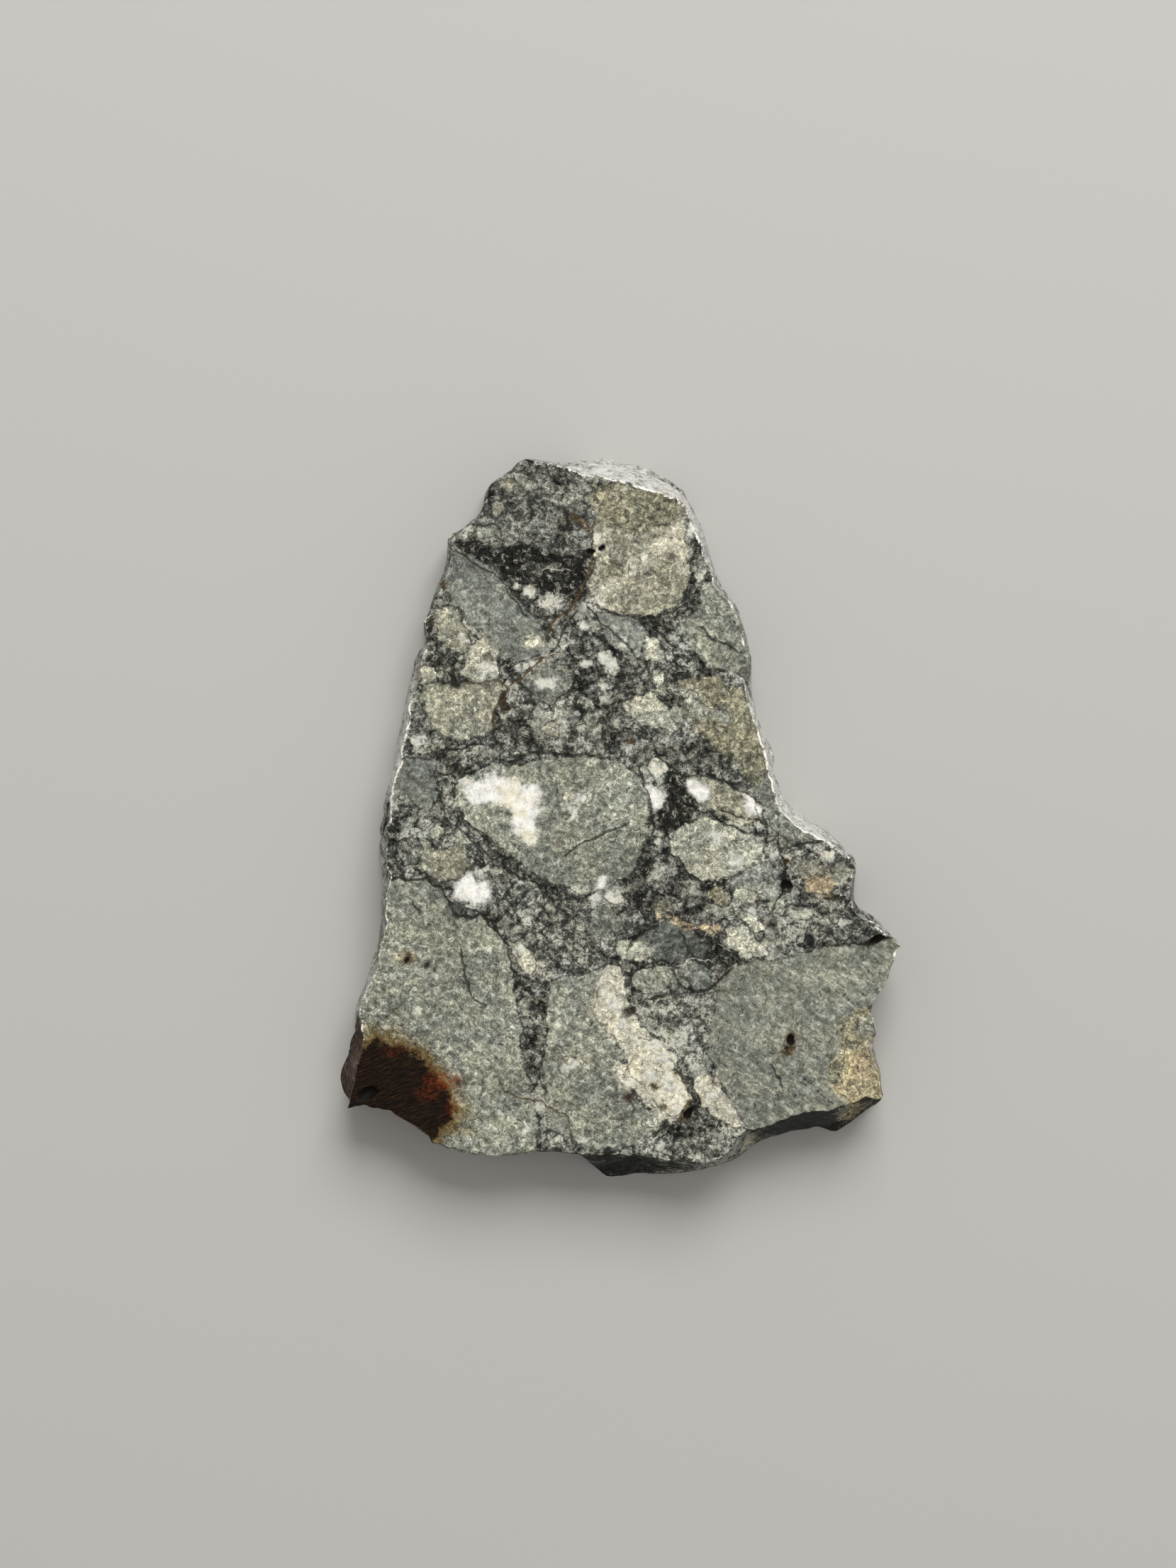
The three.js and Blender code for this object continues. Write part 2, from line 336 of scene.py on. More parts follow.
# %% The broken rim
EDGE_ROWS = (0.0, 0.3, 0.55, 0.75, 0.9)
TOP_ROWS = (0.015, 0.04, 0.075)
RIM_ROWS = np.linspace(0.12, 0.98, 15)
BACK_ROWS = (0.6, 0.0)
LEAN_POWER = 0.8
CRESTS = ((1.3, 0.34), (0.55, 0.2), (0.25, 0.08))  # size and height in mm
CREST_SHARE, CREST_LIMIT = 0.3, 0.06
CREST_FADE = (0.12, 0.08)  # below the front edge and above the back one, as shares of the thickness
TEETH_REACH = 6
TEETH_FADE = (0.14, 0.1)
CHIP_SIZE, CHIP_DROP = 0.3, 0.1
CHIP_INSIDE = 0.25  # the share of a chip's drop that reaches the last ring inside the edge


def chips(x, y):
    """How far the front edge is chipped away, in mm: only where the noise is above 0, so in places."""
    return CHIP_DROP * ease(rubble(x, y, 3.0, CHIP_SIZE))


def between_edges(t, fade):
    """0 at both sawn edges and 1 between them, with a smooth step over each of the two shares."""
    return ease(t / fade[0]) * ease((1 - t) / fade[1])


def relief(t, step):
    """How far the break stands out at a share t of the thickness, in mm, below 0 in a hollow.

    Each size of crest adds its height times a share less the noise with its sign taken off."""
    x, y, z = front_edge[::step, 0], front_edge[::step, 1], THICKNESS * (1 - t)
    rough = sum(height * (CREST_SHARE - np.abs(noise(x / size, y / size, z / size + 5)))
                for size, height in CRESTS)
    return np.minimum(rough, CREST_LIMIT) * between_edges(t, CREST_FADE)


def rim_ring(t, step):
    """Every step-th point of the rim at a share t of the thickness, in mm.

    The teeth of the two edges fade out into the even body of the rim between them."""
    body = between_edges(t, TEETH_FADE)
    front = front_edge + body * (evened(front_edge, TEETH_REACH) - front_edge)
    back = back_edge + body * (evened(back_edge, TEETH_REACH) - back_edge)
    chip = chips(front_edge[::step, 0], front_edge[::step, 1])
    place = (front + (back - front) * t**LEAN_POWER)[::step] + out[::step] * relief(t, step)[:, None]
    return np.column_stack([place, (THICKNESS - chip) * (1 - t)])


def face_ring(inner, outer, share, height):
    """A flat ring this share of the way from the inner ring to the outer one."""
    place = inner + (outer - inner) * share
    return np.column_stack([place, np.full(len(place), height)])


front_rings = [face_ring(inner_front, front_edge, share, THICKNESS) for share in EDGE_ROWS]
edge_chip = chips(front_edge[:, 0], front_edge[:, 1])
front_rings[-1][:, 2] -= CHIP_INSIDE * edge_chip
fine_rings = front_rings + [rim_ring(0.0, 1)] + [rim_ring(t, 1) for t in TOP_ROWS]
coarse_rings = [rim_ring(t, 2) for t in RIM_ROWS] + [rim_ring(1.0, 2)]
coarse_rings += [face_ring(inner_back[::2], back_edge[::2], share, 0.0) for share in BACK_ROWS]
print(f"{len(fine_rings)} rings of {ROUND} points and {len(coarse_rings)} of {ROUND // 2}")

# %% [markdown]
# The rings and the two patches are then numbered in one list, with the outermost ring of each patch
# shared with the rings. The rim's lower rows and the back have half as many points round, which a row
# of triangles allows, because nothing there is as fine as the front edge.

# %% The numbered points and faces of the skin
front_grid = patch(inner_front, ACROSS, DOWN)
back_grid = patch(inner_back[::2], ACROSS // 2, DOWN // 2)
inside = [np.dstack([grid[1:-1, 1:-1], np.full(grid[1:-1, 1:-1].shape[:2], height)]).reshape(-1, 3)
          for grid, height in ((front_grid, THICKNESS), (back_grid, 0.0))]
points = np.vstack(fine_rings + coarse_rings + inside)
starts = np.cumsum([0] + [len(part) for part in fine_rings + coarse_rings + inside])
fine, coarse = len(fine_rings), len(coarse_rings)
quads = [band(starts[k], starts[k + 1], ROUND) for k in range(fine - 1)]
quads += [band(starts[k], starts[k + 1], ROUND // 2) for k in range(fine, fine + coarse - 1)]
triangles = halving_band(starts[fine - 1], starts[fine], ROUND)
front_numbers = patch_numbers(0, starts[fine + coarse], ACROSS, DOWN)
back_numbers = patch_numbers(starts[fine + coarse - 1], starts[fine + coarse + 1],
                             ACROSS // 2, DOWN // 2)
quads += [patch_faces(front_numbers, True), patch_faces(back_numbers, False)]
quads = np.concatenate(quads)
print(f"{len(points)} points, {len(quads)} quads and {len(triangles)} triangles")

# %% [markdown]
# ## Open pits
# Where a grain was plucked out by the saw, a pit is left. These are the CAD's own pits, pressed into
# the grid as bowls, so that they are open in the mesh, and the material also darkens them with painted
# shade.

# %% Pits pressed into the front face
PITS = (  # middle in mm, radii, depth, turn in radians
    ("rusty corner", (-7.1, -7.8), (0.27, 0.19), 0.13, 0.3),
    ("beside the buff clast, left", (-0.8, 7.5), (0.16, 0.08), 0.09, 0.2),
    ("beside the buff clast, right", (-0.5, 7.59), (0.11, 0.08), 0.08, 0.0),
    ("slate clast, upper", (4.86, -6.3), (0.13, 0.15), 0.08, 0.3),
    ("slate clast, lower", (4.7, -6.54), (0.09, 0.07), 0.05, 0.6),
    ("below the right ledge", (4.7, -1.92), (0.2, 0.13), 0.09, -0.4),
    ("right lobe", (7.28, -3.46), (0.24, 0.1), 0.09, 0.4),
    ("foot of the lath", (1.96, -8.36), (0.1, 0.2), 0.09, -0.5),
    ("large left clast", (-6.0, -4.04), (0.1, 0.1), 0.05, 0.0),
)
PIT_RAGGED, PIT_RAGGED_SIZE = 0.06, 0.22
PITTED = (0.9, 0.98)  # no pit below the first share of the thickness, the full pit above the second
x, y, z = points.T
ragged_x = x + PIT_RAGGED * rubble(x, y, 11.0, PIT_RAGGED_SIZE, 2)
ragged_y = y + PIT_RAGGED * rubble(x, y, 23.0, PIT_RAGGED_SIZE, 2)


def bowl(middle, radii, turn):
    """From 1 at the middle of an ellipse to 0 at its edge: one less the squared share of the radius."""
    across, up = ragged_x - middle[0], ragged_y - middle[1]
    u = (across * math.cos(turn) + up * math.sin(turn)) / radii[0]
    v = (up * math.cos(turn) - across * math.sin(turn)) / radii[1]
    return np.clip(1 - u * u - v * v, 0, 1)


on_front = ease((z / THICKNESS - PITTED[0]) / (PITTED[1] - PITTED[0]))
pit_depth = np.zeros(len(points))
for name, middle, radii, depth, turn in PITS:
    pit_depth = np.maximum(pit_depth, depth * np.sqrt(bowl(middle, radii, turn)) * on_front)
print(f"{np.count_nonzero(pit_depth)} points lie in the {len(PITS)} pits")

# %% [markdown]
# ## Clasts
# Each clast that stands out in the photograph has a name, a tone and an outline read off it. The
# signed distance to an outline tells how deep inside a point lies, so one number gives a soft or a
# hard edge alike. The outlines are ragged because the points are moved by noise before they are
# measured. A picture projected on the stone would show the photograph's own light, and would leave
# the rim and the back bare. This pattern runs on over both.

# %% Signed distances to outlines and lines
FAR = 9.0  # mm, farther than it matters


def side_distance(px, py, start, end):
    """The distance to a straight side: to its nearest point, which the clipped projection gives."""
    along_x, along_y = end - start
    share = ((px - start[0]) * along_x + (py - start[1]) * along_y) / (along_x**2 + along_y**2)
    share = np.clip(share, 0, 1)
    return np.hypot(px - start[0] - share * along_x, py - start[1] - share * along_y)


def depth_in(outline, px, py):
    """How deep a point lies inside a closed outline, below 0 outside it.

    The size is the least distance to a side. The sign turns over at each side that a ray to the
    right crosses."""
    least = np.full(len(px), FAR)
    inside = np.zeros(len(px), bool)
    for start, end in zip(outline, np.roll(outline, -1, axis=0)):
        least = np.minimum(least, side_distance(px, py, start, end))
        if start[1] != end[1]:
            crossing = start[0] + (py - start[1]) * (end[0] - start[0]) / (end[1] - start[1])
            inside ^= ((start[1] > py) != (end[1] > py)) & (px < crossing)
    return np.where(inside, least, -least)


def ellipse_depth(middle, radii, turn, px, py):
    """The depth inside an ellipse: one less the share of the radius, times the mean radius."""
    place, turn = on_stone(middle), math.radians(turn)
    across, up = px - place[0], py - place[1]
    u = (across * math.cos(turn) + up * math.sin(turn)) / (radii[0] * PIXEL_MM)
    v = (up * math.cos(turn) - across * math.sin(turn)) / (radii[1] * PIXEL_MM)
    return (1 - np.hypot(u, v)) * (radii[0] + radii[1]) / 2 * PIXEL_MM


def line_offset(line, px, py):
    """The distance to an open line, and the same with a sign for the side that the point is on."""
    least = np.full(len(px), FAR)
    signed = least.copy()
    for start, end in zip(line[:-1], line[1:]):
        distance = side_distance(px, py, start, end)
        left = ((end[0] - start[0]) * (py - start[1]) - (end[1] - start[1]) * (px - start[0])) > 0
        nearer = distance < least
        signed = np.where(nearer, np.where(left, distance, -distance), signed)
        least = np.where(nearer, distance, least)
    return least, signed


# %% [markdown]
# The back face is the same rock two millimetres deeper. Its clasts are those of the front, seen
# through noise that shifts every place by more the deeper it lies, so large clasts come through and
# small ones change. On the rim, the pattern runs down from the front edge in the same way.

# %% The place in the pattern of every point
SHIFT, SHIFT_SIZE = 1.1, 3.0
RAGGED, RAGGED_SIZE, RAGGED_OCTAVES = 0.16, 0.5, 4
depth_share = 1 - z / THICKNESS
rim_x, rim_y = x.copy(), y.copy()
for k, ring in enumerate(fine_rings[len(EDGE_ROWS):] + coarse_rings[:len(RIM_ROWS) + 1]):
    first = starts[len(EDGE_ROWS) + k]
    step = ROUND // len(ring)
    rim_x[first:first + len(ring)], rim_y[first:first + len(ring)] = front_edge[::step].T
ragged = [RAGGED * rubble(x, y, z + 40 * k, RAGGED_SIZE, RAGGED_OCTAVES) for k in (1, 2)]
shift = [SHIFT * depth_share * noise(x / SHIFT_SIZE, y / SHIFT_SIZE, 5 * k) for k in (1, 2)]
rock_x = rim_x + shift[0] + ragged[0]
rock_y = rim_y + shift[1] + ragged[1]

# %% [markdown]
# The tones were judged as the 0 to 255 values of a screen. A kind of clast also says how
# strongly it is mottled, and how soft its outline is. The crushed ground has a darkness instead.

# %% Kinds of rock
CLAST_KINDS = {  # screen colour, share of ground in it, mottling, softness of the outline in mm
    "grey": ((142, 143, 130), 0.16, 0.68, 0.2),
    "dull grey": ((124, 125, 115), 0.22, 0.76, 0.18),
    "blue grey": ((141, 143, 133), 0.2, 0.66, 0.18),
    "slate": ((133, 134, 122), 0.1, 0.5, 0.2),
    "dark slate": ((92, 95, 89), 0.2, 0.6, 0.16),
    "blue slate": ((124, 127, 119), 0.16, 0.55, 0.2),
    "buff": ((148, 146, 129), 0.2, 0.7, 0.22),
    "olive": ((132, 129, 109), 0.28, 0.8, 0.2),
    "honey": ((180, 168, 135), 0.18, 0.7, 0.22),
    "pale": ((172, 171, 155), 0.12, 0.66, 0.2),
    "cream": ((200, 196, 177), 0.12, 0.46, 0.24),
    "chalky": ((218, 212, 189), 0.05, 0.4, 0.24),
    "tan": ((166, 151, 124), 0.25, 0.62, 0.18),
    "brown": ((78, 66, 46), 0.25, 0.7, 0.18),
    "soot": ((44, 40, 32), 0.2, 0.6, 0.16),
}
GROUND_KINDS = {  # darkness, and how strongly its fragments stand out
    "ground": (0.36, 1.15),
    "dim ground": (0.24, 1.0),
    "black ground": (0.48, 0.9),
    "coal": (1.1, 0.25),
    "smoky ground": (0.43, 0.4),
    "pale ground": (0.17, 0.85),
}
GROUND_SOFT = 0.26


def screen_to_linear(colour):
    """The light that a screen value stands for: the sRGB curve, taken the other way."""
    share = np.asarray(colour, float) / 255
    return np.where(share <= 0.04045, share / 12.92, ((share + 0.055) / 1.055) ** 2.4)


# %% [markdown]
# The outlines are in the order in which they are laid, the ground's dark drifts first and the small
# bright grains last. Spots are laid over them: fragments too small or too round to need an outline.
# The slants say which way the grain of a clast runs, where it can be seen to run one way.

# %% Outlines of the clasts, in photo pixels
CLASTS = (
    ("upper left drift", "smoky ground", (
        (688, 648), (745, 640), (800, 655), (828, 700), (835, 770), (800, 790), (735, 762), (670, 762),
        (655, 745), (690, 700))),
    ("upper left wedge", "coal", (
        (640, 763), (665, 757), (700, 775), (740, 768), (800, 785), (828, 785), (830, 838), (812, 850),
        (772, 840), (742, 850), (715, 826), (690, 797), (660, 777))),
    ("drift right of the middle", "coal", (
        (938, 1072), (985, 1085), (990, 1130), (965, 1165), (935, 1190), (925, 1165), (940, 1120))),
    ("hairy drift", "black ground", (
        (865, 1235), (905, 1212), (945, 1212), (1000, 1235), (1016, 1265), (1010, 1295), (965, 1290),
        (905, 1292), (872, 1290), (850, 1262))),
    ("slanting drift", "pale ground", (
        (626, 1100), (645, 1160), (690, 1195), (735, 1230), (775, 1258), (830, 1275), (840, 1300),
        (835, 1340), (872, 1372), (850, 1385), (800, 1375), (755, 1392), (735, 1370), (715, 1320),
        (690, 1290), (660, 1250), (640, 1190))),
    ("slanting drift, core", "dim ground", (
        (655, 1185), (700, 1225), (750, 1262), (800, 1290), (815, 1345), (770, 1360), (735, 1330),
        (705, 1290), (672, 1240))),
    ("middle drift", "black ground", (
        (785, 1030), (850, 1000), (890, 1003), (905, 1030), (960, 1033), (995, 1068), (985, 1092),
        (930, 1075), (870, 1080), (800, 1072))),
    ("middle drift, core", "black ground", (
        (850, 998), (880, 998), (890, 1020), (900, 1045), (880, 1052), (850, 1030))),
    ("left drift", "dim ground", (
        (700, 975), (735, 962), (750, 985), (728, 1020), (718, 1045), (680, 1063), (640, 1076),
        (612, 1068), (680, 1043), (698, 1015))),
    ("narrow drift", "ground", (
        (735, 1400), (758, 1402), (768, 1440), (762, 1500), (767, 1556), (752, 1530), (738, 1490),
        (732, 1440))),
    ("drift under the right ledge", "pale ground", (
        (1085, 1185), (1165, 1185), (1205, 1215), (1205, 1270), (1240, 1300), (1262, 1325), (1180, 1332),
        (1100, 1300), (1080, 1240))),
    ("drift round the slate clast", "pale ground", (
        (858, 1380), (905, 1395), (960, 1392), (1010, 1370), (1015, 1440), (1000, 1500), (965, 1500),
        (930, 1450), (890, 1430))),
    ("dark left margin", "dim ground", (
        (596, 866), (614, 868), (618, 930), (650, 960), (600, 965), (585, 930))),
    ("drift along the bottom", "pale ground", (
        (770, 1575), (830, 1590), (900, 1600), (1000, 1605), (1060, 1590), (1020, 1650), (830, 1660),
        (770, 1630))),
    ("upper left grey clast", "blue slate", (
        (630, 783), (665, 777), (690, 797), (715, 828), (738, 852), (765, 885), (775, 920), (735, 935),
        (700, 930), (680, 900), (660, 870), (640, 850), (622, 830), (618, 800))),
    ("right grey clast", "grey", (
        (1005, 812), (1022, 832), (1050, 855), (1060, 895), (1070, 920), (1058, 955), (1000, 942),
        (960, 908), (962, 880), (985, 860), (988, 830))),
    ("middle grey clast", "grey", (
        (690, 1082), (770, 1070), (860, 1070), (905, 1095), (918, 1150), (908, 1205), (888, 1235),
        (850, 1258), (815, 1260), (770, 1240), (725, 1208), (682, 1175), (652, 1150), (642, 1115),
        (662, 1092))),
    ("large left clast", "grey", (
        (530, 1244), (580, 1242), (605, 1240), (620, 1252), (632, 1262), (637, 1275), (645, 1290),
        (665, 1293), (680, 1290), (695, 1310), (715, 1330), (722, 1360), (730, 1400), (736, 1440),
        (732, 1465), (738, 1500), (752, 1540), (760, 1600), (750, 1660), (600, 1650), (470, 1590),
        (480, 1430), (520, 1330))),
    ("lower middle grey clast", "grey", (
        (775, 1385), (850, 1365), (845, 1430), (880, 1490), (868, 1515), (900, 1550), (930, 1590),
        (900, 1615), (830, 1620), (775, 1590), (768, 1500))),
    ("slate clast", "slate", (
        (1020, 1380), (1040, 1360), (1070, 1355), (1100, 1350), (1180, 1332), (1275, 1322), (1290, 1400),
        (1250, 1600), (1120, 1610), (1060, 1600), (1040, 1560), (1010, 1520), (1000, 1480), (1005, 1430))),
    ("small slate clast", "dark slate", (
        (885, 1335), (905, 1315), (940, 1302), (965, 1306), (988, 1320), (978, 1345), (962, 1362),
        (930, 1352))),
    ("slate grain", "blue slate", (
        (960, 1370), (985, 1360), (1002, 1370), (1002, 1390), (985, 1402), (970, 1388))),
    ("blue left margin", "blue slate", (
        (555, 1065), (612, 1072), (618, 1120), (600, 1150), (575, 1120), (545, 1125))),
    ("blue patch", "blue slate", ((838, 860), (905, 872), (912, 895), (900, 930), (860, 915))),
    ("upper buff clast", "buff", (
        (836, 684), (870, 680), (945, 695), (964, 706), (968, 730), (965, 760), (970, 800), (974, 830),
        (960, 855), (930, 868), (900, 870), (870, 862), (842, 850), (830, 830), (838, 800), (835, 770),
        (842, 745), (828, 718))),
    ("upper buff clast, dark end", "olive", (
        (836, 682), (945, 695), (962, 712), (950, 740), (905, 748), (870, 740), (846, 730))),
    ("left buff clast", "buff", (
        (616, 862), (640, 853), (656, 870), (660, 900), (655, 915), (640, 920), (618, 902))),
    ("beige left clast", "buff", (
        (594, 968), (640, 963), (700, 960), (718, 970), (706, 990), (695, 1010), (690, 1030), (668, 1043),
        (640, 1046), (608, 1032), (596, 1000))),
    ("mottled band", "olive", (
        (955, 958), (1010, 955), (1060, 985), (1090, 1060), (1095, 1100), (1060, 1100), (1020, 1060),
        (990, 1040), (965, 1005))),
    ("warm left clast", "buff", (
        (600, 1180), (616, 1198), (640, 1193), (655, 1177), (660, 1215), (650, 1237), (630, 1244),
        (608, 1237), (592, 1220))),
    ("spotted grey clast", "dull grey", (
        (738, 965), (760, 940), (790, 930), (812, 950), (800, 975), (780, 1000), (750, 985))),
    ("grey sliver", "dull grey", ((825, 1000), (850, 1005), (850, 1040), (825, 1045))),
    ("round grey clast", "dull grey", (
        (836, 1287), (860, 1280), (882, 1300), (882, 1320), (850, 1324), (828, 1318))),
    ("long right clast", "buff", (
        (968, 1095), (1010, 1095), (1040, 1110), (1080, 1130), (1090, 1160), (1050, 1162), (1010, 1145),
        (975, 1130))),
    ("right ledge clast", "dull grey", (
        (1090, 1080), (1110, 1130), (1170, 1185), (1110, 1185), (1075, 1160), (1060, 1110))),
    ("large pale clast", "pale", (
        (950, 1178), (975, 1160), (1000, 1152), (1016, 1160), (1040, 1167), (1060, 1175), (1080, 1183),
        (1082, 1207), (1060, 1227), (1040, 1232), (1015, 1242), (990, 1242), (966, 1227), (945, 1202))),
    ("blue area below it", "blue grey", (
        (1030, 1238), (1085, 1215), (1105, 1240), (1095, 1270), (1045, 1275))),
    ("pale right clast", "pale", (
        (1030, 1308), (1055, 1310), (1080, 1330), (1084, 1346), (1068, 1352), (1048, 1346), (1018, 1330))),
    ("rice grain", "pale", (
        (878, 995), (895, 980), (915, 977), (932, 990), (947, 1005), (962, 1020), (955, 1034),
        (933, 1031), (905, 1021), (885, 1011))),
    ("wedge, upper", "pale", ((908, 897), (925, 903), (942, 937), (925, 932), (908, 927))),
    ("wedge, lower", "pale", ((915, 953), (938, 960), (938, 988), (922, 970))),
    ("left pale clast", "pale", (
        (660, 913), (680, 899), (695, 912), (703, 935), (700, 957), (670, 964), (650, 950))),
    ("left edge pale", "pale", ((590, 942), (615, 940), (616, 964), (594, 966))),
    ("beside the slanting drift", "pale", (
        (720, 1330), (735, 1323), (752, 1345), (762, 1360), (752, 1377), (738, 1368), (728, 1350))),
    ("lath", "cream", (
        (853, 1362), (875, 1363), (884, 1385), (888, 1415), (902, 1440), (917, 1452), (932, 1475),
        (947, 1495), (957, 1510), (967, 1525), (977, 1545), (982, 1560), (975, 1577), (945, 1580),
        (928, 1577), (912, 1560), (903, 1545), (893, 1537), (878, 1530), (870, 1515), (868, 1503),
        (885, 1498), (878, 1480), (866, 1465), (848, 1450), (838, 1430), (843, 1405))),
    ("lath, lower end", "chalky", (
        (905, 1460), (925, 1470), (945, 1495), (962, 1522), (974, 1545), (976, 1562), (955, 1572),
        (935, 1568), (918, 1548), (905, 1530), (890, 1520), (885, 1505), (898, 1490))),
    ("second lath", "cream", (
        (976, 1517), (1000, 1513), (1015, 1533), (1032, 1558), (1047, 1580), (1042, 1592), (1020, 1587),
        (1000, 1572), (988, 1547), (980, 1532))),
    ("nodules on the right edge", "honey", (
        (1205, 1428), (1250, 1430), (1250, 1475), (1260, 1560), (1200, 1560), (1178, 1530), (1195, 1480))),
    ("pale nodule", "buff", ((1210, 1435), (1236, 1437), (1238, 1462), (1215, 1466))),
    ("right tan haze", "tan", ((1128, 1215), (1160, 1218), (1178, 1240), (1170, 1262), (1140, 1258))),
    ("tan streak", "tan", (
        (918, 1284), (935, 1284), (945, 1291), (965, 1296), (985, 1301), (1005, 1304), (1015, 1299),
        (1021, 1308), (1010, 1321), (993, 1316), (975, 1309), (955, 1301), (935, 1296), (922, 1299))),
    ("round beige grain", "buff", (
        (763, 1030), (770, 1018), (784, 1018), (791, 1030), (784, 1043), (770, 1043))),
    ("rust stain by the top pits", "brown", (
        (806, 726), (816, 726), (834, 738), (837, 754), (828, 752), (818, 740), (806, 733))),
)
SPOTS = (  # middle and radii in photo pixels, turn in degrees, kind
    ((701, 719), (10, 14), -10, "buff"), ((716, 681), (12, 9), 0, "buff"),
    ((690, 750), (18, 9), 0, "grey"), ((905, 730), (12, 11), 0, "olive"),
    ((867, 805), (8, 9), 0, "olive"), ((752, 905), (10, 8), 0, "pale"), ((605, 880), (7, 14), 0, "soot"),
    ((624, 932), (5, 8), 0, "soot"), ((643, 957), (4, 12), 0, "soot"), ((621, 824), (4, 7), 0, "brown"),
    ((705, 1048), (9, 4), 0, "soot"), ((712, 992), (7, 13), 10, "soot"),
    ((614, 1174), (12, 10), 0, "pale"), ((643, 1276), (8, 12), 0, "dark slate"),
    ((929, 1085), (13, 11), 0, "pale"), ((955, 1010), (8, 14), 30, "grey"),
    ((887, 1045), (9, 5), 0, "brown"), ((812, 1125), (17, 11), 20, "pale"),
    ((865, 1150), (13, 7), 0, "pale"), ((935, 1279), (14, 10), 0, "olive"),
    ((865, 1265), (14, 11), 0, "pale"), ((893, 1340), (26, 13), -6, "pale"),
    ((925, 1380), (34, 17), 10, "grey"), ((988, 1340), (11, 15), 0, "dark slate"),
    ((957, 1392), (14, 13), 0, "dull grey"), ((888, 1424), (9, 5), 0, "soot"),
    ((930, 1405), (22, 4), 8, "soot"), ((1020, 1285), (28, 10), -15, "dull grey"),
    ((1109, 1247), (9, 12), 0, "soot"), ((1110, 1215), (5, 5), 0, "brown"),
    ((1178, 1264), (20, 5), 0, "soot"), ((1238, 1325), (17, 6), 8, "soot"),
    ((1188, 1230), (15, 14), 0, "grey"), ((1146, 1226), (16, 14), 0, "buff"),
    ((1155, 1247), (17, 12), -30, "tan"), ((1066, 1100), (9, 8), 0, "olive"),
    ((808, 1505), (22, 15), -20, "pale"), ((875, 1565), (20, 18), 0, "grey"),
    ((920, 1583), (15, 9), 0, "pale"), ((973, 1570), (8, 14), -25, "brown"),
    ((958, 1510), (5, 7), 0, "brown"), ((924, 1531), (4, 3), 0, "brown"),
    ((937, 1560), (4, 3), 0, "brown"), ((890, 1549), (5, 5), 0, "brown"),
    ((574, 1354), (11, 10), 0, "olive"), ((574, 1354), (4, 4), 0, "brown"),
    ((600, 1358), (3, 3), 0, "soot"), ((557, 1424), (4, 4), 0, "olive"),
    ((665, 1592), (4, 4), 0, "olive"), ((1116, 1467), (5, 10), 0, "brown"),
    ((1110, 1481), (4, 3), 0, "brown"), ((1193, 1450), (9, 16), 0, "olive"),
    ((1180, 1507), (9, 16), 0, "olive"), ((1222, 1500), (16, 13), 0, "tan"),
    ((1228, 1532), (13, 14), 0, "honey"), ((1200, 1475), (9, 7), 0, "olive"),
    ((757, 1413), (6, 7), 0, "olive"), ((1052, 1262), (20, 10), -12, "pale"),
    ((1085, 1238), (13, 16), 20, "blue grey"), ((1062, 1300), (22, 9), -25, "pale"),
    ((1098, 1278), (14, 9), 10, "grey"), ((1130, 1290), (18, 9), -12, "grey"),
    ((1015, 1262), (14, 9), -20, "olive"), ((1072, 985), (10, 12), 0, "pale"),
    ((985, 1000), (13, 10), -20, "pale"), ((1020, 1010), (15, 9), -35, "grey"),
    ((975, 985), (9, 8), 0, "pale"), ((930, 960), (9, 14), 0, "pale"))
SLANTS = {  # a clast's streaks: degrees from the right, upwards, and strength
    "slate clast": (-34, 0.95), "small slate clast": (22, 1.2), "slate grain": (22, 0.6),
    "lower middle grey clast": (-28, 0.5), "large left clast": (-42, 0.5), "slanting drift": (-42, 0.9),
    "middle grey clast": (-20, 0.45), "upper left grey clast": (-50, 0.5), "right grey clast": (-40, 0.5),
    "second lath": (-55, 0.4), "nodules on the right edge": (-30, 0.5),
    "drift along the bottom": (-20, 0.8), "slanting drift, core": (-42, 0.9),
    "upper left drift": (-18, 0.7), "upper left wedge": (8, 0.7),
    "drift under the right ledge": (-8, 0.8), "narrow drift": (-75, 0.6)}
print(f"{len(CLASTS)} clasts and drifts have outlines")

# %% [markdown]
# White clasts are the brightest thing on the stone and have the hardest edges, so their signed
# distance is kept as it is and the material draws the edge. Small round grains need no outline:
# a middle and two radii will do.

# %% White clasts, small grains and buff streaks
WHITE_CLASTS = {
    "wishbone": (
        (655, 1108), (658, 1100), (668, 1097), (680, 1098), (686, 1094), (700, 1092), (715, 1095),
        (728, 1098), (735, 1106), (742, 1108), (752, 1104), (760, 1108), (768, 1116), (762, 1122),
        (758, 1130), (756, 1140), (765, 1142), (760, 1150), (748, 1158), (757, 1165), (758, 1180),
        (756, 1195), (745, 1200), (738, 1190), (735, 1178), (728, 1172), (722, 1165), (720, 1150),
        (716, 1142), (705, 1135), (695, 1131), (682, 1132), (672, 1137), (665, 1130), (660, 1120)),
    "oval": (
        (638, 1250), (646, 1238), (655, 1230), (663, 1230), (670, 1240), (684, 1241), (691, 1251),
        (691, 1263), (685, 1272), (672, 1276), (658, 1275), (648, 1268), (641, 1261)),
    "sliver above the oval": ((668, 1226), (675, 1223), (678, 1234), (671, 1237)),
    "upright grain": ((912, 1110), (920, 1111), (937, 1120), (938, 1138), (926, 1144), (918, 1135)),
    "wedge in the middle": ((838, 1256), (841, 1245), (848, 1237), (856, 1240), (853, 1256)),
    "tip of the long right clast": (
        (970, 1105), (985, 1100), (1001, 1108), (998, 1128), (985, 1131), (972, 1122)),
    "blue strip": ((1045, 1120), (1060, 1126), (1082, 1142), (1080, 1155), (1062, 1148), (1048, 1134)),
}
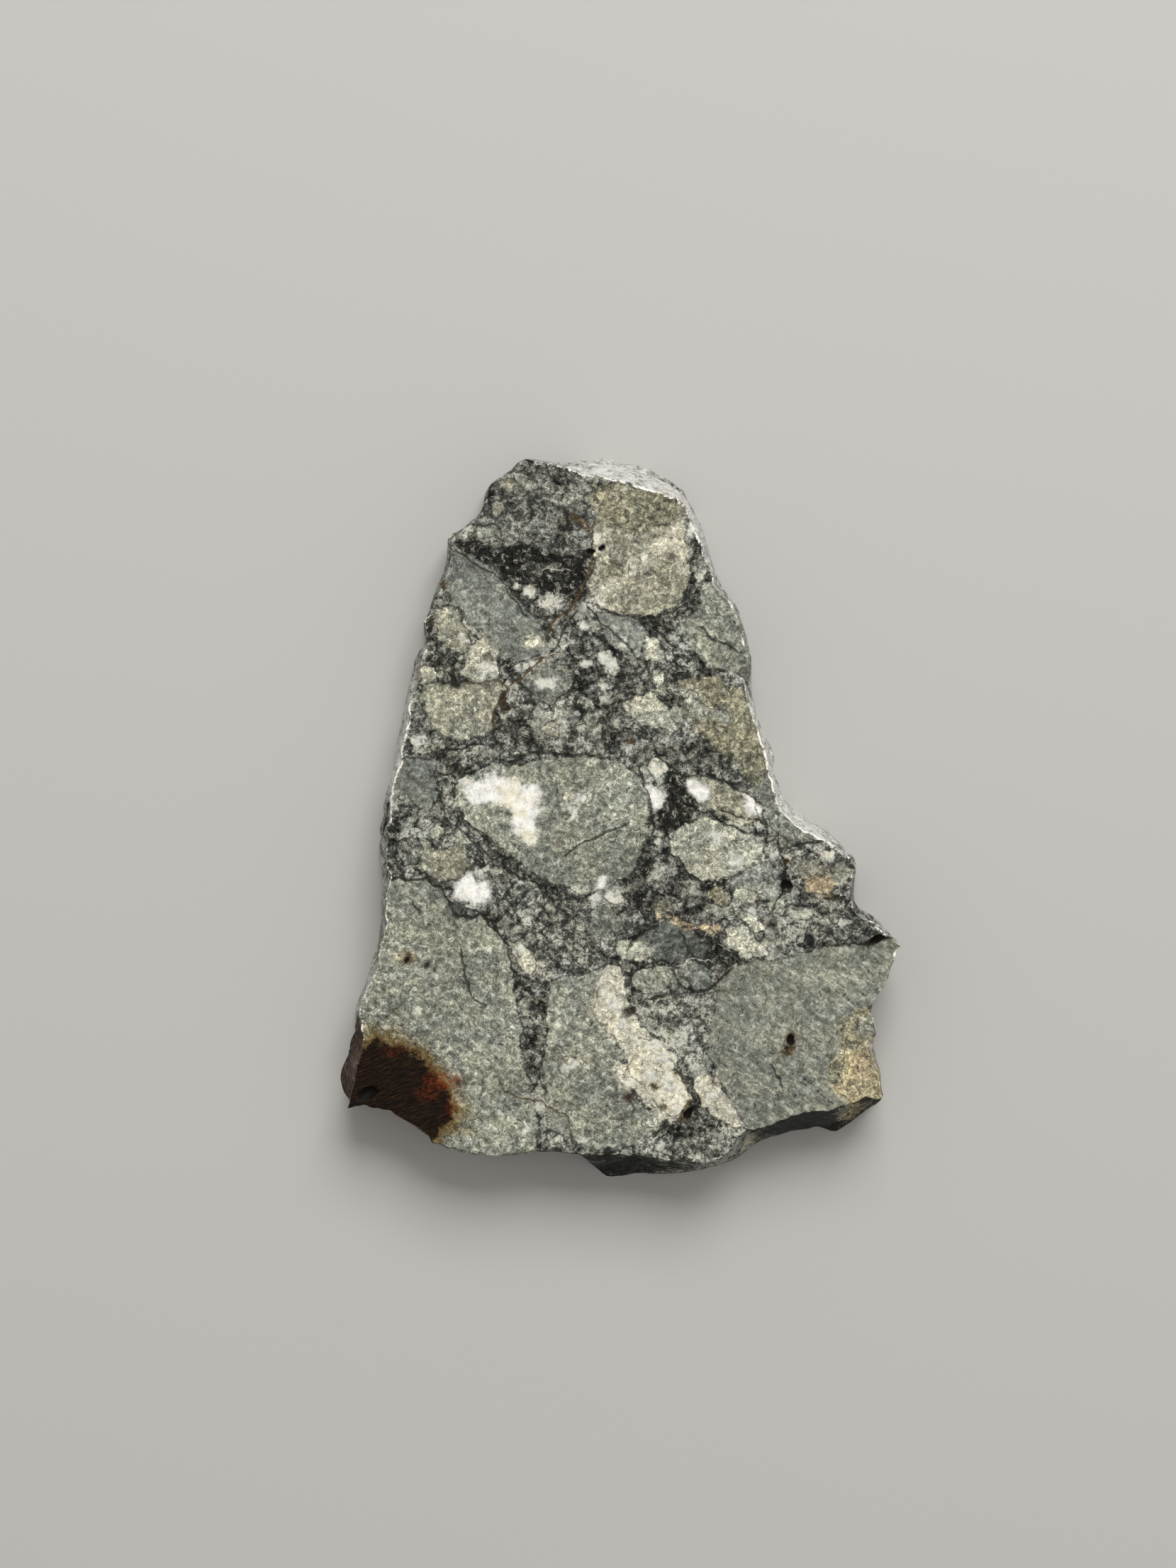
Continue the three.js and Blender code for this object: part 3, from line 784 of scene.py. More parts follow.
CREAM_PLACES = (((722, 1128), (14, 24)), ((746, 1190), (10, 20)))  # middle and radii in photo pixels
WHITE_GRAINS = (  # middle and radii in photo pixels, turn in degrees
    ((747, 830), (9, 9), 0), ((780, 846), (14, 8), 10), ((730, 826), (6, 4), 0), ((795, 898), (9, 8), 0),
    ((829, 885), (5, 4), 0), ((858, 935), (13, 9), -20), ((828, 936), (7, 5), 0),
    ((875, 910), (10, 6), 0), ((683, 945), (13, 9), 0), ((650, 895), (4, 10), 10),
    ((773, 965), (17, 9), -15), ((863, 1408), (10, 12), 0), ((874, 1446), (9, 10), 0),
    ((920, 1471), (13, 10), -30), ((946, 1496), (9, 15), 30), ((890, 1524), (12, 8), 0),
    ((962, 1560), (9, 8), 0), ((850, 966), (13, 6), 0), ((1008, 1185), (12, 8), -15),
    ((1040, 1215), (12, 9), 0), ((1165, 1206), (13, 7), -30), ((818, 1125), (8, 6), 0),
    ((808, 1146), (7, 6), 0), ((842, 1273), (9, 8), 0), ((866, 1265), (12, 9), 0),
    ((928, 1085), (9, 8), 0), ((590, 1041), (9, 5), 0), ((987, 808), (6, 8), 0), ((975, 748), (4, 9), 0),
    ((932, 1490), (12, 9), -30), ((905, 1465), (8, 6), 0), ((848, 762), (6, 6), 0),
    ((850, 851), (9, 5), -40), ((1006, 1545), (10, 5), -50), ((945, 1525), (12, 8), -50),
    ((918, 1520), (9, 8), 0), ((745, 1596), (3, 3), 0), ((800, 1018), (8, 7), 0),
    ((812, 1255), (6, 5), 0), ((805, 1505), (9, 6), 0), ((830, 1557), (7, 5), 0),
    ((1190, 1300), (6, 5), 0), ((1062, 1288), (9, 6), 0), ((738, 1337), (7, 6), -50),
    ((825, 1612), (7, 4), 0), ((552, 1130), (6, 5), 0))
BUFF_STREAKS = (  # pale streaks in the upper buff clast: a line, half its width, both in photo pixels
    (((842, 850), (852, 832), (870, 816), (885, 802), (900, 791), (925, 780), (942, 767)), 6),
    (((956, 750), (958, 775), (962, 800)), 6),
)
print(f"{len(WHITE_CLASTS)} white clasts have outlines, and {len(WHITE_GRAINS)} grains have radii")

# %% Veins, cracks and hair lines, in photo pixels
VEINS = (  # brown, filled with rust
    ((838, 735), (839, 750), (835, 775), (834, 800), (832, 815), (825, 828), (815, 840)),
    (
        (655, 965), (680, 963), (700, 962), (715, 968), (735, 960), (750, 945), (765, 930), (778, 923),
        (790, 922)),
    ((718, 968), (712, 985), (700, 997), (696, 1010), (692, 1028)),
    (
        (703, 1522), (712, 1535), (730, 1545), (750, 1552), (765, 1555), (780, 1562), (795, 1575),
        (800, 1590), (806, 1605), (810, 1622)),
    ((815, 840), (800, 858), (783, 880), (770, 895)),
)
CRACKS = (  # dark
    ((988, 887), (1000, 900), (1015, 908), (1030, 912), (1045, 920)),
    ((812, 962), (795, 975), (780, 995)),
    ((738, 965), (755, 985)),
    ((1000, 1093), (1020, 1100), (1040, 1112), (1060, 1125), (1075, 1135)),
    ((1020, 1140), (1050, 1150), (1070, 1158), (1080, 1165)),
    ((1003, 1147), (1020, 1160), (1045, 1169), (1075, 1178)),
    ((1080, 1145), (1082, 1170), (1080, 1200)),
    ((1112, 1195), (1130, 1190), (1155, 1188)),
    ((800, 1204), (820, 1195), (835, 1188), (855, 1175), (885, 1163)),
    (
        (550, 1242), (580, 1242), (605, 1240), (620, 1252), (632, 1262), (637, 1275), (645, 1290),
        (665, 1293), (680, 1290), (695, 1310), (715, 1330)),
    ((650, 1340), (655, 1365), (662, 1390), (668, 1405), (685, 1417)),
    ((584, 1272), (591, 1281)),
    ((945, 1370), (955, 1390), (985, 1403), (1000, 1395), (1020, 1380), (1035, 1365)),
    ((955, 1510), (965, 1525), (978, 1545), (985, 1565), (995, 1585)),
    ((1092, 1505), (1100, 1520), (1105, 1530)),
    ((640, 772), (665, 786), (690, 806), (705, 822), (728, 850), (745, 872)),
    ((842, 852), (870, 866), (900, 874), (930, 872), (962, 858)),
    ((962, 1315), (970, 1330), (975, 1345), (965, 1360)),
    ((840, 960), (826, 970), (815, 985), (806, 1000)),
    ((640, 1165), (665, 1190), (700, 1215), (735, 1238), (760, 1250), (800, 1288)),
    ((652, 1150), (690, 1190), (725, 1222)),
    ((690, 1080), (720, 1072), (760, 1062), (800, 1066), (850, 1070)),
    ((905, 1090), (918, 1130), (920, 1170), (908, 1205), (892, 1238)),
    ((940, 1180), (950, 1205), (970, 1232), (1000, 1246)),
    ((1000, 1310), (1020, 1328), (1048, 1350)),
    ((1180, 1334), (1215, 1330), (1255, 1326)),
    ((885, 1335), (900, 1318), (925, 1306), (945, 1300)),
    ((830, 855), (850, 880), (875, 905), (900, 925)),
    ((905, 870), (925, 890), (945, 910), (955, 940)),
    ((775, 920), (790, 905), (800, 880), (815, 860)),
    ((1100, 1185), (1108, 1215), (1104, 1250), (1092, 1285)),
    ((620, 1062), (660, 1056), (700, 1050)),
)
HAIR_LINES = (  # bright and very thin
    ((953, 1365), (970, 1357), (990, 1353), (1003, 1355)),
    ((765, 804), (785, 804), (805, 805)),
    ((820, 1345), (832, 1347), (843, 1353)),
    ((745, 1435), (752, 1441), (760, 1450)),
    ((900, 1420), (908, 1424), (915, 1430)),
    ((765, 929), (778, 923), (790, 922)),
)

# %% [markdown]
# ## Laying the layers
# Seven layers make the rock: the tone of its clasts, how much crushed ground shows, how dark that
# ground is, how strongly its fragments stand out, how strong the mottling is, which way the streaks
# run, and the depth inside the nearest clast, whose zero is a thin dark seam. Each outline moves them
# towards its own values, as far as it covers a point. This is a painter's order, and later clasts
# lie over earlier ones, as they look in the rock.

# %% Tone, ground, darkness, fragments, mottling, direction and seam
tone = np.tile(screen_to_linear(CLAST_KINDS["dull grey"][0]), (len(points), 1))
ground = np.ones(len(points))
darkness, busy = [np.full(len(points), value) for value in GROUND_KINDS["ground"]]
mottling = np.full(len(points), 0.5)
direction = np.zeros((len(points), 3))
seam = np.full(len(points), 1.0)
BLEED = 0.07  # mm that a clast's tone reaches beyond its outline, through the ground
STREAK_FADE = 0.25  # mm
SHADE, SHADE_SIZE = 0.55, 1.5  # doublings of the light, and mm
SPOT_SOFT, STREAK_SOFT = 0.14, 0.26
SEAMED_SPOTS = ("pale", "buff", "grey", "dull grey", "dark slate")


def slant_within(depth, slant):
    """Turn the streaks to this slant where the depth is above 0, and let them fade in from its edge."""
    within = depth > 0
    angle, amount = math.radians(slant[0]), slant[1]
    direction[within, :2] = math.cos(angle), math.sin(angle)
    direction[within, 2] = amount * ease(depth[within] / STREAK_FADE)


def lay_clast(depth, kind, slant=None, soft=None):
    """Lay a kind of clast where the depth is above 0. Its tone reaches a little further out."""
    colour, share, strength, usual_soft = CLAST_KINDS[kind]
    soft = soft or usual_soft
    wide = ease(0.5 + (depth + BLEED) / soft)
    tone[:] += wide[:, None] * (screen_to_linear(colour) - tone)
    mottling[:] += wide * (strength - mottling)
    ground[:] += ease(0.5 + depth / soft) * (share - ground)
    if slant is not None:
        slant_within(depth, slant)
    else:
        direction[:, 2] *= ease(-depth / STREAK_FADE)


def mark_seam(depth):
    """Take this depth as the seam's all over the clast, and outside it where it is the nearest."""
    own = (depth > 0) | (np.abs(depth) < np.abs(seam))
    seam[own] = depth[own]


for name, kind, outline in CLASTS:
    depth = depth_in(on_stone(outline), rock_x, rock_y)
    if kind in GROUND_KINDS:
        level, strength = GROUND_KINDS[kind]
        covered = ease(0.5 + depth / GROUND_SOFT)
        darkness += covered * (level - darkness)
        busy += covered * (strength - busy)
        slant_within(depth, SLANTS.get(name, (0, 0)))
    else:
        lay_clast(depth, kind, SLANTS.get(name))
        mark_seam(depth)
for line, half_width in BUFF_STREAKS:
    distance = line_offset(on_stone(line), rock_x, rock_y)[0]
    lay_clast(half_width * PIXEL_MM - distance, "cream", soft=STREAK_SOFT)
for middle, radii, turn, kind in SPOTS:
    depth = ellipse_depth(middle, radii, turn, rock_x, rock_y)
    lay_clast(depth, kind, soft=SPOT_SOFT)
    if kind in SEAMED_SPOTS:
        mark_seam(depth)
tone *= 2 ** (SHADE * rubble(rock_x, rock_y, 2.0, SHADE_SIZE, 3))[:, None]
print(f"mean tone {np.round(tone.mean(axis=0), 3)}, mean share of ground {ground.mean():.2f}")

# %% [markdown]
# Small clasts don't reach through two millimetres of rock. So the back has white clasts of the same
# kinds elsewhere: those of the front, turned half round and a tenth larger. The clasts with an outline
# are dense and chalky. Two places in the wishbone are creamier, and the small grains are loose and
# mix with the ground, so a second number says how chalky a place is.

# %% Depth inside the white clasts, in mm, and how chalky they are
REACH = 0.25  # mm outside that are still told apart
DEEP = 0.6  # the share of the thickness below which the back's own white clasts lie
BACK_SCALE = -0.9
CHALK_REACH = 0.1  # mm
CREAM, CREAM_SOFT = 0.35, 0.3  # how much less chalky, and over how many mm
deep = depth_share > DEEP
white_x = np.where(deep, BACK_SCALE * rock_x, rock_x)
white_y = np.where(deep, BACK_SCALE * rock_y, rock_y)
white = np.full(len(points), -REACH)
for outline in WHITE_CLASTS.values():
    white = np.maximum(white, depth_in(on_stone(outline), white_x, white_y))
chalk = (white > -CHALK_REACH).astype(float)
for middle, radii in CREAM_PLACES:
    chalk -= CREAM * ease(1 + ellipse_depth(middle, radii, 0, white_x, white_y) / CREAM_SOFT)
for middle, radii, turn in WHITE_GRAINS:
    white = np.maximum(white, ellipse_depth(middle, radii, turn, white_x, white_y))
print(f"{np.count_nonzero(white > 0)} points lie in white clasts")

# %% [markdown]
# A vein or a crack is thinner than the grid's cells. Its signed distance isn't: it runs straight
# through zero from cell to cell, so the material can draw a line of any width where it does. A
# second number fades the line out away from itself, where the sign jumps.

# %% Offsets from the veins, cracks and hair lines
NEAR = 0.16  # mm


def drawn(lines):
    """The signed distance to the nearest of these lines, and a fade from 1 on it to 0."""
    least = np.full(len(points), FAR)
    signed = least.copy()
    for line in lines:
        distance, offset = line_offset(on_stone(line), rock_x, rock_y)
        signed = np.where(distance < least, offset, signed)
        least = np.minimum(least, distance)
    return np.clip(signed, -1, 1), ease(1 - least / NEAR)


line_layers = {"Vein": drawn(VEINS), "Crack": drawn(CRACKS), "Hair": drawn(HAIR_LINES)}
print(", ".join(f"{name}: {np.count_nonzero(near > 0)} points near"
                for name, (_, near) in line_layers.items()))

# %% [markdown]
# ## The rusty corner
# Iron in the rock has rusted at the lower left corner. The stain is nearly black in the middle,
# orange where it is thin, and ends in a golden brown halo that soaks into the grey clast.

# %% The rust
RUST = (
    (470, 1500), (500, 1476), (515, 1470), (530, 1467), (550, 1467), (570, 1475), (585, 1485),
    (600, 1500), (615, 1515), (632, 1540), (645, 1565), (640, 1582), (622, 1595), (612, 1615),
    (560, 1640), (460, 1600))
EMBERS = (  # middle, radii and strength
    ((628, 1525), (30, 15), 1.0), ((603, 1541), (20, 12), 0.45), ((640, 1560), (14, 14), 0.5),
    ((560, 1480), (26, 8), 0.35), ((580, 1600), (22, 10), 0.3))
RUST_REACH = 0.9
EMBER_EDGE = 1.3  # radii from an ember's middle to where it ends
rust = np.clip(depth_in(on_stone(RUST), rock_x, rock_y), -RUST_REACH, RUST_REACH)
ember = np.zeros(len(points))
for middle, radii, strength in EMBERS:
    across, up = np.array((rock_x, rock_y)) - on_stone(middle)[:, None]
    away = np.hypot(across / (radii[0] * PIXEL_MM), up / (radii[1] * PIXEL_MM))
    ember = np.maximum(ember, strength * ease(EMBER_EDGE - away))
print(f"{np.count_nonzero(rust > 0)} points lie in the rust")

# %% [markdown]
# ## The rim's tone
# A fresh break is paler than a lapped face, because its crushed grains scatter the light. It isn't
# so all round: the top is nearly white, partly powder and partly painted light where it faces the
# lamp, the lower side of the rim, which faces away from the lamp, is darkened with painted shade,
# and the rim by the rust is brown. Where the rim is pale, the front face is bruised along its edge,
# and white crumbs show there.

# %% Powder, painted light and painted shade of the broken rim
RIM_POWDER_AND_PAINTED_LIGHT = (  # place on the outline in photo pixels; 1 is white powder and painted light, below 0 is painted shade
    ((634, 764), 0.3), ((600, 830), 0.25), ((596, 880), 0.2), ((590, 930), 0.5), ((575, 1000), 0.8),
    ((560, 1060), 0.9), ((548, 1120), 0.8), ((543, 1180), 0.6), ((535, 1300), 0.6), ((525, 1380), 0.6),
    ((510, 1435), 0.6), ((500, 1470), 0.15), ((488, 1566), -0.2), ((560, 1585), -0.6),
    ((612, 1612), -0.2), ((650, 1632), 0.3), ((750, 1632), 0.2), ((800, 1630), 0.1), ((838, 1632), -0.5),
    ((900, 1650), -0.5), ((960, 1645), 0.1), ((1000, 1640), 0.5), ((1030, 1600), 0.2),
    ((1060, 1590), 0.0), ((1100, 1580), -0.7), ((1160, 1570), -1.0), ((1185, 1565), -0.1),
    ((1230, 1550), -0.6), ((1246, 1540), 0.0), ((1240, 1500), 0.3), ((1238, 1450), 0.4),
    ((1260, 1380), 0.1), ((1268, 1330), 0.4), ((1235, 1300), 0.5), ((1210, 1270), 0.3),
    ((1200, 1220), 0.5), ((1190, 1190), 0.6), ((1150, 1170), 0.9), ((1120, 1155), 1.0),
    ((1095, 1110), 1.0), ((1082, 1040), 1.0), ((1060, 990), 0.6), ((1050, 930), 0.3), ((1055, 870), 0.4),
    ((1040, 840), 0.5), ((1000, 780), 0.6), ((980, 730), 0.9), ((962, 703), 0.9), ((930, 692), 1.0),
    ((890, 680), 1.0), ((850, 672), 1.0), ((810, 660), 0.8), ((760, 650), 0.3), ((740, 648), 0.2),
    ((690, 690), 0.3), ((660, 740), 0.3))
places = on_stone([place for place, _ in RIM_POWDER_AND_PAINTED_LIGHT])
order = np.argsort(nearest(front_edge, places))
stations = nearest(front_edge, places)[order]
values = np.array([value for _, value in RIM_POWDER_AND_PAINTED_LIGHT])[order]
powder_and_painted_light_round = np.interp(np.arange(ROUND), stations, values, period=ROUND)
CREST_POWDER_AND_PAINTED_LIGHT = 2.0  # more for each mm that the break stands out, so crests get painted light and hollows painted shade
POWDER_AND_PAINTED_LIGHT_LOSS = 0.3  # the share lost on the way down to the back edge
EDGE_WHITE = (-2.0, -1.8, -1.2, -0.3, 0.4)  # for each ring of the front, the innermost first
EDGE_FOLLOWS_POWDER_AND_LIGHT = 0.9  # how strongly the crumbs on the edge follow the rim's powder and painted light
rim, powder_and_painted_light = np.zeros(len(points)), np.zeros(len(points))
edge_white = np.full(len(points), EDGE_WHITE[0])
rim_shares = [0.0] * (len(EDGE_ROWS) + 1) + list(TOP_ROWS) + list(RIM_ROWS) + [1.0]
# Each rim ring takes the powder and painted light of its stretch: white powder and painted light on the
# lamp's side, painted shade on the side away from it, crests lighter and hollows darker.
for k, ring in enumerate(fine_rings + coarse_rings[:len(RIM_ROWS) + 1]):
    here = slice(starts[k], starts[k] + len(ring))
    step = ROUND // len(ring)
    rim[here] = k >= len(EDGE_ROWS)
    powder_and_painted_light[here] = powder_and_painted_light_round[::step] * (1 - POWDER_AND_PAINTED_LIGHT_LOSS * depth_share[here])
    powder_and_painted_light[here] += CREST_POWDER_AND_PAINTED_LIGHT * relief(rim_shares[k], step)
    edge_white[here] = EDGE_WHITE[min(k, len(EDGE_ROWS) - 1)]
    edge_white[here] += EDGE_FOLLOWS_POWDER_AND_LIGHT * (powder_and_painted_light_round[::step] - 1)
print(f"{int(rim.sum())} points lie on the rim")

# %% [markdown]
# ## The mesh
# The pits go into the points. Then the arrays become one mesh, with the layers as attributes on its
# vertices, so that the pattern belongs to the stone and not to a material.

# %% The finished mesh
points[:, 2] -= pit_depth
mesh = bpy.data.meshes.new("breccia_slice")
mesh.from_pydata(points * MM, [], quads.tolist() + triangles.tolist())
mesh.shade_smooth()


def layer(name, values):
    """Keep one number for each vertex as an attribute that the materials can read."""
    mesh.attributes.new(name, "FLOAT", "POINT").data.foreach_set("value", values.astype(np.float32))


opaque_tone = np.column_stack([tone, np.ones(len(tone))]).astype(np.float32)
mesh.attributes.new("tone", "FLOAT_COLOR", "POINT").data.foreach_set("color", opaque_tone.ravel())
mesh.attributes.new("direction", "FLOAT_VECTOR", "POINT").data.foreach_set(
    "vector", direction.astype(np.float32).ravel())
rock_layers = {"Ground": ground, "Darkness": darkness, "Mottling": mottling, "Busy": busy, "White": white,
               "Chalk": chalk, "Seam": seam, "Rust": rust, "Ember": ember}
for name, (offset, near) in line_layers.items():
    rock_layers[name + " Offset"] = offset
    rock_layers[name + " Near"] = near
for name, values in rock_layers.items():
    layer(name.lower(), values)
for name, values in (("powder_and_painted_light", powder_and_painted_light), ("edge", edge_white), ("pit", pit_depth)):
    layer(name, values)
stone = bpy.data.objects.new("breccia_slice", mesh)
bpy.context.collection.objects.link(stone)
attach(stone, "root")
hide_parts(STONE)
print(f"{len(mesh.vertices)} vertices, {len(mesh.polygons)} faces, {len(mesh.attributes)} attributes")

# %% [markdown]
# ## Materials
# The felted grain of the rock is finer than the grid, so it is worked out in the shader, from places
# on the stone in millimetres. The effects are node groups, because the sawn faces and the broken rim
# share them. A few short functions keep the wiring readable.
#
# The numbers of a texture stand above the nodes that use them. A noise has its scale in waves a
# millimetre, then its detail, roughness and distortion. Tones swing by doublings of the light.

# %% Wiring helpers
MIDDLE = 0.5  # of a noise that runs from 0 to 1


def add(tree, kind, inputs=(), **settings):
    """Add a node with these settings, and feed its inputs with sockets or plain values."""
    node = tree.nodes.new("ShaderNode" + kind)
    for name, value in settings.items():
        setattr(node, name, value)
    for key, value in dict(inputs).items():
        if isinstance(value, bpy.types.NodeSocket):
            tree.links.new(value, node.inputs[key])
        else:
            node.inputs[key].default_value = value
    return node


def use(tree, group, inputs):
    """The outputs of a node group with these inputs."""
    return add(tree, "Group", inputs, node_tree=group).outputs


def calc(tree, operation, *values):
    """The result of one math node."""
    return add(tree, "Math", enumerate(values), operation=operation).outputs[0]


def vector(tree, operation, *values, output="Vector"):
    """The result of one vector math node."""
    return add(tree, "VectorMath", enumerate(values), operation=operation).outputs[output]


def remap(tree, value, low, high, start=0.0, end=1.0):
    """A smooth step from start to end as the value goes from low to high."""
    return add(tree, "MapRange", {"Value": value, "From Min": low, "From Max": high, "To Min": start,
                                  "To Max": end}, interpolation_type="SMOOTHSTEP").outputs[0]


def blend(tree, share, under, over, mode="MIX"):
    """One colour over another, as far as the share says."""
    return add(tree, "Mix", {0: share, 6: under, 7: over}, data_type="RGBA",
               blend_type=mode).outputs[2]


def cover(tree, mask, strength, under, over, mode="MIX"):
    """One colour over another where a mask says, at this strength."""
    return blend(tree, calc(tree, "MULTIPLY", mask, strength), under, over, mode)


def speckle(tree, place, scale, detail=3.0, roughness=0.6, distortion=0.0):
    """Noise from 0 to 1 at so many waves a millimetre."""
    return add(tree, "TexNoise", {"Vector": place, "Scale": scale, "Detail": detail,
                                  "Roughness": roughness, "Distortion": distortion}).outputs[0]


def sway(tree, value, strength, base=0.0, middle=MIDDLE):
    """A base plus this strength times the noise less its middle."""
    return calc(tree, "MULTIPLY_ADD", calc(tree, "SUBTRACT", value, middle), strength, base)


def screen(*colour):
    """A screen colour from 0 to 255 as the four linear numbers of a socket."""
    return (*screen_to_linear(colour).tolist(), 1.0)


def new_group(name, inputs, outputs):
    """An empty node group, with the sockets of its two sides."""
    tree = bpy.data.node_groups.new(name, "ShaderNodeTree")
    for side, sockets in (("INPUT", inputs), ("OUTPUT", outputs)):
        for label, kind in sockets.items():
            tree.interface.new_socket(label, in_out=side, socket_type="NodeSocket" + kind)
    return tree, tree.nodes.new("NodeGroupInput").outputs, tree.nodes.new("NodeGroupOutput").inputs


def give(tree, result, **sockets):
    """Link these sockets to the group's outputs of the same names."""
    for name, socket in sockets.items():
        tree.links.new(socket, result[name])


# %% Node group: the felted grain of the rock
FELT_FINE, FELT_FINE_SWING = (5.0, 6.0, 0.88, 0.6), 17.5
FELT_COARSE, FELT_COARSE_SWING = (1.3, 4.0, 0.6, 0.4), 2.3
FIBRES = ((7.0, 1.2), (6.1, -1.6))  # scale and swing: bright ones and dark ones
FIBRE_NOISE = (3.0, 0.65, 1.5)  # detail, roughness and distortion
FIBRE_WIDTH = 0.035  # how far from the noise's middle a fibre reaches
FELT_HEIGHT = 0.03  # mm
felted, given, result = new_group("Felted grain", {"Place": "Vector"},
                                  {"Swing": "Float", "Hue": "Float", "Height": "Float"})
fine_noise = speckle(felted, given["Place"], *FELT_FINE)
coarse_noise = speckle(felted, given["Place"], *FELT_COARSE)
swing = sway(felted, fine_noise, FELT_FINE_SWING)
swing = sway(felted, coarse_noise, FELT_COARSE_SWING, swing)
for scale, strength in FIBRES:
    fibre = speckle(felted, given["Place"], scale, *FIBRE_NOISE)
    fibre = calc(felted, "ABSOLUTE", calc(felted, "SUBTRACT", fibre, MIDDLE))
    swing = calc(felted, "MULTIPLY_ADD", remap(felted, fibre, FIBRE_WIDTH, 0.0), strength, swing)
give(felted, result, Swing=swing, Hue=coarse_noise,
     Height=calc(felted, "MULTIPLY", fine_noise, FELT_HEIGHT))

# %% Node group: the fragments of the crushed ground
JAG_NOISE, JAG_REACH = {"Scale": 6.0, "Detail": 4.0, "Roughness": 0.65}, 0.34
FRAGMENTS = ((1.35, 2.3, 0.07), (3.2, 2.0, 0.13))  # scale, swing, and the dark joints' half width
FRAGMENT_MIDDLE, JOINT_SWING = 0.45, -1.3
crushed, given, result = new_group("Crushed fragments", {"Place": "Vector"}, {"Swing": "Float"})
jag = add(crushed, "TexNoise", {"Vector": given["Place"], **JAG_NOISE}).outputs["Color"]
jag = vector(crushed, "SUBTRACT", jag, (MIDDLE,) * 3)
jagged = vector(crushed, "MULTIPLY_ADD", jag, (JAG_REACH,) * 3, given["Place"])
swing = 0.0
for scale, strength, joint_width in FRAGMENTS:
    cells = add(crushed, "TexVoronoi", {"Vector": jagged, "Scale": scale})
    chance = add(crushed, "SeparateColor", {0: cells.outputs["Color"]}).outputs[0]
    sides = add(crushed, "TexVoronoi", {"Vector": jagged, "Scale": scale}, feature="DISTANCE_TO_EDGE")
    joint = remap(crushed, sides.outputs["Distance"], joint_width, 0.0, 0.0, JOINT_SWING)
    swing = calc(crushed, "ADD", sway(crushed, chance, strength, joint, FRAGMENT_MIDDLE), swing)
give(crushed, result, Swing=swing)

# %% Node group: short curled threads
THREAD_NOISE = (2.0, 0.5, 1.4)  # detail, roughness and distortion
THREAD_CORE = 0.35  # the share of a thread's width that is full
THREAD_BREAKS, THREAD_BREAK_EDGE = (5.0, 1.0, 0.5, 0.5), (0.49, 0.6)
threads, given, result = new_group(
    "Curled threads", {"Place": "Vector", "Scale": "Float", "Width": "Float"}, {"Mask": "Float"})
wander = speckle(threads, given["Place"], given["Scale"], *THREAD_NOISE)
away = calc(threads, "ABSOLUTE", calc(threads, "SUBTRACT", wander, MIDDLE))
line = remap(threads, calc(threads, "DIVIDE", away, given["Width"]), 1.0, THREAD_CORE)
pieces = remap(threads, speckle(threads, given["Place"], *THREAD_BREAKS), *THREAD_BREAK_EDGE)
give(threads, result, Mask=calc(threads, "MULTIPLY", line, pieces))

# %% Node group: streaks that a slanting clast has
STREAK_SCALES = (1.6, 7.0, 4.0)  # along the streaks, across them, and down into the stone
STREAK_NOISE, STREAK_SWING = (1.0, 4.0, 0.7, 0.6), 8.0
streaks, given, result = new_group("Streaks", {"Place": "Vector", "Direction": "Vector"},
                                   {"Swing": "Float"})
parts = add(streaks, "SeparateXYZ", {0: given["Direction"]}).outputs
flat = add(streaks, "CombineXYZ", {0: parts[0], 1: parts[1]}).outputs[0]
sideways = vector(streaks, "CROSS_PRODUCT", flat, (0, 0, 1))
turned = add(streaks, "CombineXYZ", {
    0: vector(streaks, "DOT_PRODUCT", given["Place"], flat, output="Value"),
    1: vector(streaks, "DOT_PRODUCT", given["Place"], sideways, output="Value"),
    2: add(streaks, "SeparateXYZ", {0: given["Place"]}).outputs[2]}).outputs[0]
drawn_out = vector(streaks, "MULTIPLY", turned, STREAK_SCALES)
swing = sway(streaks, speckle(streaks, drawn_out, *STREAK_NOISE), STREAK_SWING)
give(streaks, result, Swing=calc(streaks, "MULTIPLY", swing, parts[2]))

# %% Node group: a drawn line
WOBBLE, WOBBLE_REACH = (5.0, 4.0, 0.7), 0.22
LINE_EDGE = (0.025, -0.012)  # mm outside the half width: where the line starts, and where it is full
GAP_NOISE, GAP_EDGE = (3.5, 3.0), (-0.1, 0.04)
drawing, given, result = new_group(
    "Drawn line", {"Offset": "Float", "Near": "Float", "Half Width": "Float", "Place": "Vector",
                   "Gaps": "Float"}, {"Mask": "Float"})
size = sway(drawing, speckle(drawing, given["Place"], *WOBBLE), WOBBLE_REACH, given["Offset"])
size = calc(drawing, "SUBTRACT", calc(drawing, "ABSOLUTE", size), given["Half Width"])
line = calc(drawing, "MULTIPLY", remap(drawing, size, *LINE_EDGE), given["Near"])
gaps = calc(drawing, "SUBTRACT", speckle(drawing, given["Place"], *GAP_NOISE), given["Gaps"])
give(drawing, result, Mask=calc(drawing, "MULTIPLY", line, remap(drawing, gaps, *GAP_EDGE)))

# %% [markdown]
# Rust has three zones, from outside in: a golden halo, a dun border and the nearly black stain, in
# which saw marks show as brown scratches. Each zone starts and is full at a depth inside the outline.

